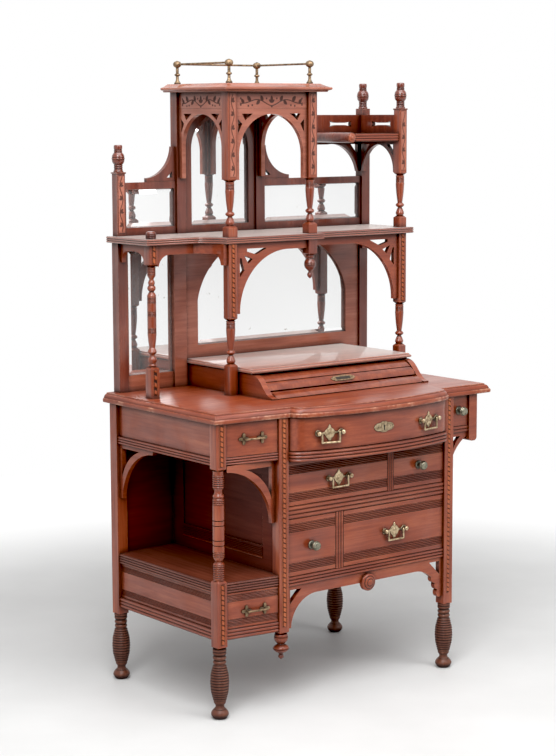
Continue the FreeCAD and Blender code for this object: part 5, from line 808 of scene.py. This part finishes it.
def ogee(share):
    # the cheek's front edge: above a short toe, height rises as share - sway x sin, slow at foot and brow
    share = np.asarray(share, float)
    foot = writingBox["low"] + writingBox["toe"]
    rise = share - writingBox["sway"] * np.sin(2 * np.pi * share)
    return np.stack([writingBox["front"] + writingBox["slope"] * share,
                     foot + (writingBox["high"] - foot) * rise], -1)


def slatSeat(shares):
    # the foot and the brow of a slat on the ogee, the way between them and the way in
    low, high = ogee(shares)
    way = (high - low) / np.linalg.norm(high - low)
    return low, high, way, np.array([way[1], -way[0]])


def acrossBox(section, gap, dark=0.0):
    # a section of the front, held clear of the desk and pushed from cheek to cheek less a gap at each end
    section[:, 1] = np.maximum(section[:, 1], writingBox["low"] + slats["clear"])
    return pushProfile(section, (innerLeft + gap, 0, 0), (0, 1, 0), (0, 0, 1),
                       innerRight - innerLeft - 2 * gap, dark)


def slatSection(shares):
    # a slat sunk behind the ogee, its face crowned by a half sine
    low, high, way, inward = slatSeat(shares)
    share = np.linspace(0, 1, slats["points"])[:, None]
    face = low + (high - low) * share + inward * (slats["sink"] - slats["crown"] * np.sin(np.pi * share))
    back = np.array([low, high]) + inward * (slats["sink"] + slats["thick"])
    return np.concatenate([back, face[::-1]])


back, low, high = writingBox["back"], writingBox["low"], writingBox["high"]
cheekLine = np.concatenate([[(back, low), (back, high)], ogee(np.linspace(1, 0, writingBox["cheekPoints"])),
                            [(writingBox["front"], low)]])
innerLeft, innerRight = writingBox["left"] + writingBox["cheek"], writingBox["right"] - writingBox["cheek"]
caseShapes = [pushProfile(cheekLine, (x, 0, 0), (0, 1, 0), (0, 0, 1), writingBox["cheek"])
              for x in (writingBox["left"], innerRight)]
backBoard = rectangle(back - writingBox["backThick"], back, low, high)
caseShapes.append(pushProfile(backBoard, (innerLeft, 0, 0), (0, 1, 0), (0, 0, 1), innerRight - innerLeft))
makePiece("boxCase", caseShapes, wood["x"], ["box_case"])
lidBoard = edgedBoard(writingBox["lid"], threeSides, np.array(writingBox["lidEdge"]) + (0, high, 0))
makePiece("boxLid", [lidBoard], lidWood)
slatShapes = [acrossBox(slatSection(shares), slats["sideGap"], slats["dark"]) for shares in slats["shares"]]
backing = ogee(np.linspace(*slats["backShares"], slats["backPoints"])) + slats["backShift"]
backing = np.concatenate([backing + (slats["backThick"], 0.0), backing[::-1]])
# the backing seen through the gaps between the slats is painted dark as shade
slatShapes.append(acrossBox(backing, slats["backGap"], slats["backingShade"]))
makePiece("boxSlats", slatShapes, turnedWood, ["stationery_front"], "stationery_drawer")

pull = dict(middle=70.0, half=41.0, sink=0.4, thick=1.8, gapHalf=24.0, gapTall=4.2, gapRise=0.2, slat=1,
            outline=((1.0, 0.0), (0.90, 3.6), (0.80, 4.2), (0.74, 7.0), (0.40, 7.4), (0.30, 9.0),
                     (-0.30, 9.0), (-0.40, 7.4), (-0.74, 7.0), (-0.80, 4.2), (-0.90, 3.6), (-1.0, 0.0),
                     (-0.90, -3.6), (-0.80, -4.2), (-0.74, -7.0), (-0.40, -7.4), (0.40, -7.4), (0.74, -7.0),
                     (0.80, -4.2), (0.90, -3.6)))
low, high, way, inward = slatSeat(slats["shares"][pull["slat"]])
seat = (pull["middle"], *((low + high) / 2 + inward * (slats["sink"] - slats["crown"] + pull["sink"])))
plate = pushProfile(np.array(pull["outline"]) * (pull["half"], 1), seat, (1, 0, 0), (0, *way),
                    pull["thick"])
gapLine = rectangle(-pull["gapHalf"], pull["gapHalf"], -pull["gapTall"], pull["gapTall"])
# the slot in the pull is painted dark as shade
gap = pushProfile(gapLine, seat, (1, 0, 0), (0, *way), pull["thick"] + pull["gapRise"], 1.0)
makePiece("boxPull", [plate, gap], darkBrass, ["stationery_pull"], "stationery_drawer")
print("writing box made")

carving = dict(pitch=0.7, lift=1.0, depth=0.6, darkGain=6, stem=1.5, leafPoints=9, leafTip=0.25,
               leafBelly=0.7)


def carvedBoard(width, tall, strokes, dark):
    # share cut away = the most over all strokes of 1 - distance / stroke half width, on an even grid
    x, y = np.meshgrid(np.linspace(0, width, int(width / carving["pitch"]) + 1),
                       np.linspace(0, tall, int(tall / carving["pitch"]) + 1))
    field = np.zeros(x.shape)
    for line, half in strokes:
        away = np.hypot(x[..., None] - line[:, 0], y[..., None] - line[:, 1])
        field = np.maximum(field, np.clip(1 - away / np.broadcast_to(half, len(line)), 0, 1).max(-1))
    height = carving["lift"] - carving["depth"] * field
    # the carved hollows are painted dark: dark polish and painted shade
    return reliefBoard(height, dark * np.clip(field * carving["darkGain"], 0, 1), width, tall)


def leafStroke(x, y, angle, length, half):
    # a leaf: points along its rib, half width = tip + half x sin, widest short of the middle
    share = np.linspace(0, 1, carving["leafPoints"])
    line = np.stack([x + length * share * math.cos(angle), y + length * share * math.sin(angle)], -1)
    return line, carving["leafTip"] + half * np.sin(np.pi * share ** carving["leafBelly"])


vine = dict(width=18.0, wave=68.0, swing=4.2, step=0.9, margin=2, topMargin=6, leafFoot=1.5, dark=0.82,
            leaves=((1.15, 12.0, 3.4), (0.1, 8.5, 3.0)),
            places=((-215, 29.2, 1312, 1520), (45, 29.2, 1312, 1520), (407, 83.2, 1316, 1474),
                    (-402, 255.2, 1168, 1312)))


def vineBoard(tall):
    # a wavy stem, two leaves in each bend: stem = swing x sin, leaves lean up to the far side by turns
    up = np.linspace(vine["margin"], tall - vine["margin"], int(tall / vine["step"]))
    middle, wave = vine["width"] / 2, vine["wave"]
    strokes = [(np.stack([middle + vine["swing"] * np.sin(2 * np.pi * up / wave), up], -1),
                carving["stem"])]
    for number, height in enumerate(np.arange(wave / 4, tall - vine["topMargin"], wave / 2)):
        way = -1 if number % 2 else 1
        foot = middle + way * vine["leafFoot"]
        strokes += [leafStroke(foot, height, math.pi / 2 + way * (math.pi / 2 - lean), length, half)
                    for lean, length, half in vine["leaves"]]
    return carvedBoard(vine["width"], tall, strokes, vine["dark"])


vineShapes = [facing(vineBoard(high - low), "front", (x - vine["width"] / 2, face, low))
              for x, face, low, high in vine["places"]]
makePiece("carvedVines", vineShapes, hazeLit["z"])

frieze = dict(tall=36.0, low=1483.0, margin=10, swing=9.0, fall=0.7, wave=0.94, stemDrop=3, stemEnd=0.97,
              stemPoints=110, dark=0.86,
              leaves=((0.28, 1.0, 1.15, 14.5, 5.2), (0.66, 0.0, 0.95, 16.0, 5.6),
                      (0.38, 0.0, -0.75, 13.5, 4.8), (0.86, -5.0, 0.9, 13.0, 4.6)),
              crown=((-3.0, 0.0, 18.0, 4.6), (-4.0, 0.9, 12.0, 3.4), (-4.0, -0.9, 12.0, 3.4)),
              berries=((0.0, -14.0, 3.2), (0.60, -11.0, 2.9), (0.72, -12.5, 2.9), (0.95, -10.0, 2.9),
                       (0.16, 6.0, 2.6), (0.95, 6.0, 2.8)),
              boards=((228.0, "front", -199, 37.2), (190.0, "left", -220.8, 250),
                      (190.0, "right", 50.8, 60)))


def friezeBoard(wide):
    # a palmette in the middle and, mirrored on each side, a stem that swings as a fading cosine with
    # leaves and berries
    middle, half, reach = wide / 2, frieze["tall"] / 2, wide / 2 - frieze["margin"]
    run = np.linspace(0, frieze["stemEnd"], frieze["stemPoints"])
    swing = frieze["swing"] * np.cos(2 * np.pi * run / frieze["wave"]) * (1 - frieze["fall"] * run)
    strokes = [leafStroke(middle, half + y, math.pi / 2 - lean, length, thick)
               for y, lean, length, thick in frieze["crown"]]
    for way in (-reach, reach):
        strokes.append((np.stack([middle + way * run, half - frieze["stemDrop"] - swing], -1),
                        carving["stem"]))
        for share, y, angle, length, thick in frieze["leaves"]:
            lean = math.copysign(math.pi / 2 - angle, way * (math.pi / 2 - angle))
            strokes.append(leafStroke(middle + way * share, half + y, math.pi / 2 - lean, length, thick))
        strokes += [(np.array([(middle + way * share, half + y)]), radius)
                    for share, y, radius in frieze["berries"]]
    return carvedBoard(wide, frieze["tall"], strokes, frieze["dark"])


friezeShapes = [facing(friezeBoard(wide), side, (x, y, frieze["low"]))
                for wide, side, x, y in frieze["boards"]]
makePiece("carvedFriezes", friezeShapes, hazeLit["x"])
print("carving made")

# bat-wing plates with bail posts, and the key plate of the bowed drawer
pulls = dict(half=40.0, up=21.0, thick=2.0, seat=0.3, postSpread=34.0, postRise=1.0, postQuarter=5,
             swing=10.65, filed=((0, 0, 0.8), (0, 1.2, 0.6), (0.7, 2.0, 0)),
             wing=((0, 1.0), (0.05, 0.90), (0.08, 0.76), (0.10, 0.62), (0.17, 0.54), (0.25, 0.44),
                   (0.31, 0.30), (0.35, 0.16), (0.46, 0.10), (0.60, 0.12), (0.68, 0.30), (0.80, 0.42),
                   (0.92, 0.36), (1.0, 0.14), (1.0, -0.10), (0.92, -0.30), (0.80, -0.36), (0.68, -0.26),
                   (0.60, -0.10), (0.46, -0.10), (0.36, -0.16), (0.31, -0.34), (0.24, -0.54), (0.16, -0.66),
                   (0.11, -0.80), (0.08, -0.96)),
             post=[(2, 6.0, 6.0), (7, 4.2, 4.2), (1, 5.6, 5.6), (3, 5.6, 1.0, 1.2)],
             boss=[(0.8, 5.2, 5.2), (1.2, 5.0, 1.0, 0.6)], bossAt=(0, 2.0), bossQuarter=6,
             bowLeft=(-136.5, -256.6, 688.5), bowRight=(193.5, -256.6, 688.5),
             secondWide=(-69.0, -211.0, 563.0), thirdWide=(118.5, -211.0, 401.0))


def filedPlate(half, width, up):
    # a thin plate with a filed edge: the right half of an outline, from the top down, mirrored to the left
    half = np.array(half, float)
    mirrored = (half * (-1, 1))[1:-1 if half[-1, 0] == 0 else None]
    line = np.concatenate([half[::-1], mirrored]) * (width, up)
    return edgedBoard(line, np.ones(len(line)), pulls["filed"])


def pullPlate(at, swing=0.0):
    # a bat-wing plate, a boss in its middle and two bail posts, stood on a drawer front
    foot = pulls["thick"] - pulls["seat"]
    shapes = [filedPlate(pulls["wing"], pulls["half"], pulls["up"])]
    shapes += [loftPost(turnedRows(foot, pulls["post"]), (x, pulls["postRise"]), pulls["postQuarter"])
               for x in (-pulls["postSpread"], pulls["postSpread"])]
    shapes.append(loftPost(turnedRows(foot, pulls["boss"]), pulls["bossAt"], pulls["bossQuarter"]))
    return [facing(shape, "front", at, swing) for shape in shapes]


keyPlate = dict(half=33.0, up=13.5, dark=0.35, at=(28.5, -272.0, 688.5), holeRise=0.15, holeQuarter=5,
                slotDeep=0.45, holes=((0, 2.0, 3.0), (-21.0, 0, 1.4), (21.0, 0, 1.4)),
                outline=((0, 1.0), (0.20, 1.0), (0.38, 0.80), (0.50, 0.73), (0.62, 0.75), (0.78, 0.60),
                         (0.92, 0.36), (1.0, 0.0)),
                slot=((-2.4, -8), (2.4, -8), (1.6, 1), (-1.6, 1)))
upper = np.array(keyPlate["outline"])
foot, rim = pulls["thick"] - pulls["seat"], pulls["thick"] + keyPlate["holeRise"]
keyShapes = [filedPlate(np.concatenate([upper, upper[-2::-1] * (1, -1)]), keyPlate["half"], keyPlate["up"])]
# the keyhole, the pin holes and the slot are painted dark as shade
keyShapes += [loftPost([(foot, radius, radius, 1), (rim, radius, radius, 1)], (x, y),
                       keyPlate["holeQuarter"])
              for x, y, radius in keyPlate["holes"]]
keyShapes.append(pushProfile(keyPlate["slot"], (0, 0, foot), (1, 0, 0), (0, 1, 0), keyPlate["slotDeep"],
                             1.0))
keyShapes = [dict(facing(shape, "front", keyPlate["at"]), cut=np.maximum(shape["cut"], keyPlate["dark"]))
             for shape in keyShapes]
bowPulls = pullPlate(pulls["bowLeft"], -pulls["swing"]) + pullPlate(pulls["bowRight"], pulls["swing"])
makePiece("bowFittings", bowPulls + keyShapes, brass, ["bow_drawer_fittings"], "bow_drawer")
makePiece("secondWidePull", pullPlate(pulls["secondWide"]), brass, ["second_wide_pull"],
          "second_wide_drawer")
makePiece("thirdWidePull", pullPlate(pulls["thirdWide"]), brass, ["third_wide_pull"], "third_wide_drawer")

# reeds and a fillet on the partition
partition = dict(face=-257.0, back=200.0, wide=341.0, tall=22.0, lows=(375.0, 600.0), reeds=5, points=41,
                 floor=0.3, rise=1.6, leastDark=0.25, darkGain=0.7, filletLow=367.5, filletRise=2.2,
                 filletTall=4.0, filletSeat=-0.3)
up = np.linspace(0, 1, partition["points"])
ridges = np.abs(np.sin(np.pi * partition["reeds"] * up))[:, None] * np.ones(2)
# the valleys between the reeds are painted dark as shade
reedFace = reliefBoard(partition["floor"] + partition["rise"] * ridges,
                       partition["leastDark"] + partition["darkGain"] * (1 - ridges), partition["wide"],
                       partition["tall"])
face, back = partition["face"], partition["back"]
makePiece("partitionReeds", [facing(reedFace, "left", (face, back, low)) for low in partition["lows"]],
          shadedInnerWood)
tall, seat = partition["filletTall"], partition["filletSeat"]
fillet = np.stack([partition["filletRise"] * np.sin(np.pi * up), tall * up], -1)
fillet = np.concatenate([fillet, [(seat, tall), (seat, 0.0)]])[::-1]
start = (face, back - partition["wide"], partition["filletLow"])
makePiece("partitionFillet", [pushProfile(fillet, start, (-1, 0, 0), (0, 0, 1), partition["wide"])],
          wood["y"])

# the corner shelf's reeded edge and the boss at the end of its roll
shelfEdge = dict(line=(238.0, 393.0, 86.4, 90.4), low=1394.6, tall=20.0, reeds=3, rise=1.6,
                 bossAt=(223.0, 85.2, 1404.5),
                 boss=[(1.2, 13.4, 13.4), (1.2, 12.6, 11.6, -0.9), (1.6, 11.2, 5.6, 0.7),
                       (0.8, 5.2, 5.0, -0.7), (1.2, 4.8, 0.6, 0.8)])
edge = reededBoard(rectangle(*shelfEdge["line"]), frontOnly, shelfEdge["tall"], shelfEdge["reeds"],
                   shelfEdge["rise"], shelfEdge["low"])
boss = facing(loftPost(turnedRows(0, shelfEdge["boss"])), "front", shelfEdge["bossAt"])
makePiece("cornerShelfEdge", [edge, boss], wood["x"])
print("fittings and reeds made")

# finishes for the pieces kept from the frame: by name, or else by how the name ends
keptFinishes = dict(curved_brackets=wood["x"], bay_apron=wood["x"], shelf_aprons=wood["x"],
                    cantilever_case=wood["x"], upper_left_drawer_front=wood["x"],
                    cantilever_drawer_front=wood["x"], square_posts=wood["z"], dust_boards=shadedInnerWood,
                    carcass_panels=shadedInnerWood, lower_mirror_frame=hazeLit["x"], canopy_arches=hazeLit["x"],
                    upper_mirror_frames=maroonWood, tier_posts=maroonWood, corner_shelf=maroonWood,
                    pierced_brackets=maroonWood, brass_gallery=darkBrass, upper_left_pull=darkBrass,
                    lower_left_pull=darkBrass)
endFinishes = dict(bail=brass, pull=brass, fittings=brass, knob=dullBrass, box=drawerWood)
for name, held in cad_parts.items():
    finish = keptFinishes.get(name) or endFinishes.get(name.split("_")[-1])
    if finish:
        held.data.materials.clear()
        held.data.materials.append(finish)

# floor, light and camera
stageLook = dict(floorRadius=3.0, floorPoints=96, floorDrop=0.0005, floorColour=(0.70, 0.70, 0.695),
                 floorLight=(0.76, 0.76, 0.755), floorRough=0.6, cloudScale=3.0, cloudDetail=6.0,
                 cloudSpan=(0.3, 0.7), fade=(1.1, 2.4), sky=(1.0, 1.0, 1.0), skySeen=1.0, skyLight=0.25,
                 darkWay=(-0.30, -0.954, 0.0), darkReach=(0.80, 0.97), darkShare=0.8)


def seenShare(tree):
    # 1 for what the camera or a reflection sees, 0 for light that only falls on things
    path = addNode(tree, "LightPath").outputs
    return calculate(tree, "MAXIMUM", path["Is Camera Ray"], path["Is Glossy Ray"])


floorMesh = bpy.data.meshes.new("floor")
turn = np.linspace(0, 2 * np.pi, stageLook["floorPoints"], endpoint=False)
rim = np.stack([np.cos(turn), np.sin(turn), 0 * turn], -1) * stageLook["floorRadius"]
rim = rim - (0, 0, stageLook["floorDrop"])
floorMesh.from_pydata(rim.tolist(), [], [list(range(len(rim)))])
floor = bpy.data.objects.new("floor", floorMesh)
bpy.context.collection.objects.link(floor)
floorFinish, tree, shader, place = startMaterial("paleFloor")
cloud = noise(tree, place, stageLook["cloudScale"], stageLook["cloudDetail"])
cloud = remap(tree, cloud, *stageLook["cloudSpan"])
tint = blendColour(tree, cloud, stageLook["floorColour"], stageLook["floorLight"])
away = addNode(tree, "VectorMath", {0: place}, operation="LENGTH").outputs["Value"]
# the floor is seen to fade into the white room
fading = remap(tree, away, *stageLook["fade"], curve="SMOOTHSTEP")
fading = calculate(tree, "MULTIPLY", fading, seenShare(tree))
fill(tree, shader, {"Base Color": blendColour(tree, fading, tint, (0, 0, 0)),
                    "Emission Color": stageLook["sky"], "Emission Strength": fading,
                    "Roughness": stageLook["floorRough"]})
floorMesh.materials.append(floorFinish)

world = bpy.data.worlds.new("softStudio")
bpy.context.scene.world = world
world.use_nodes = True
tree = world.node_tree  # the white room is seen and mirrored in full, but lights softly
strength = remap(tree, seenShare(tree), 0.0, 1.0, stageLook["skyLight"], stageLook["skySeen"])
near = likeness(tree, addNode(tree, "TexCoord").outputs["Generated"], stageLook["darkWay"])
# the near wall is dim
dim = remap(tree, near, *stageLook["darkReach"], 1.0, 1.0 - stageLook["darkShare"], "SMOOTHSTEP")
fill(tree, tree.nodes["Background"], {"Color": stageLook["sky"],
                                      "Strength": calculate(tree, "MULTIPLY", strength, dim)})
lamps = dict(window=dict(at=(-2.8, -2.6, 3.3), aim=(0, 0, 0.7), size=2.2, power=115.0),
             fill=dict(at=(1.4, -3.8, 3.0), aim=(0, 0, 1.0), size=2.2, power=50.0),
             overhead=dict(at=(-0.5, -1.0, 3.5), aim=(0, 0, 0.5), size=2.8, power=105.0))
for name, lamp in lamps.items():
    light = bpy.data.lights.new(name, "AREA")
    light.shape, light.size, light.energy = "SQUARE", lamp["size"], lamp["power"]
    holder = bpy.data.objects.new(name, light)
    bpy.context.collection.objects.link(holder)
    holder.location = lamp["at"]
    holder.rotation_euler = (Vector(lamp["aim"]) - Vector(lamp["at"])).to_track_quat("-Z", "Y").to_euler()

view = dict(at=(-3.1075, -3.8351, 1.4660), yaw=38.14, pitch=7.85, roll=-0.185, lens=90.94, sensor=36.0,
            blackLevel=0.011)
yaw, pitch, roll = (math.radians(view[key]) for key in ("yaw", "pitch", "roll"))
forward = Vector((math.sin(yaw) * math.cos(pitch), math.cos(yaw) * math.cos(pitch), -math.sin(pitch)))
across = Vector((math.cos(yaw), -math.sin(yaw), 0))
upward = across.cross(forward)
right = across * math.cos(roll) + upward * math.sin(roll)
top = upward * math.cos(roll) - across * math.sin(roll)
cameraData = bpy.data.cameras.new("photoCamera")
cameraData.lens, cameraData.sensor_width, cameraData.sensor_fit = view["lens"], view["sensor"], "AUTO"
camera = bpy.data.objects.new("photoCamera", cameraData)
bpy.context.collection.objects.link(camera)
camera.matrix_world = Matrix((right, top, -forward)).transposed().to_4x4()
camera.location = view["at"]
bpy.context.scene.camera = camera
shown = bpy.context.scene.view_settings
shown.view_transform = "Standard"
shown.use_curve_mapping = True
shown.curve_mapping.black_level = [view["blackLevel"]] * 3  # a little of a camera's own contrast
shown.curve_mapping.update()
print("floor, light and camera set")
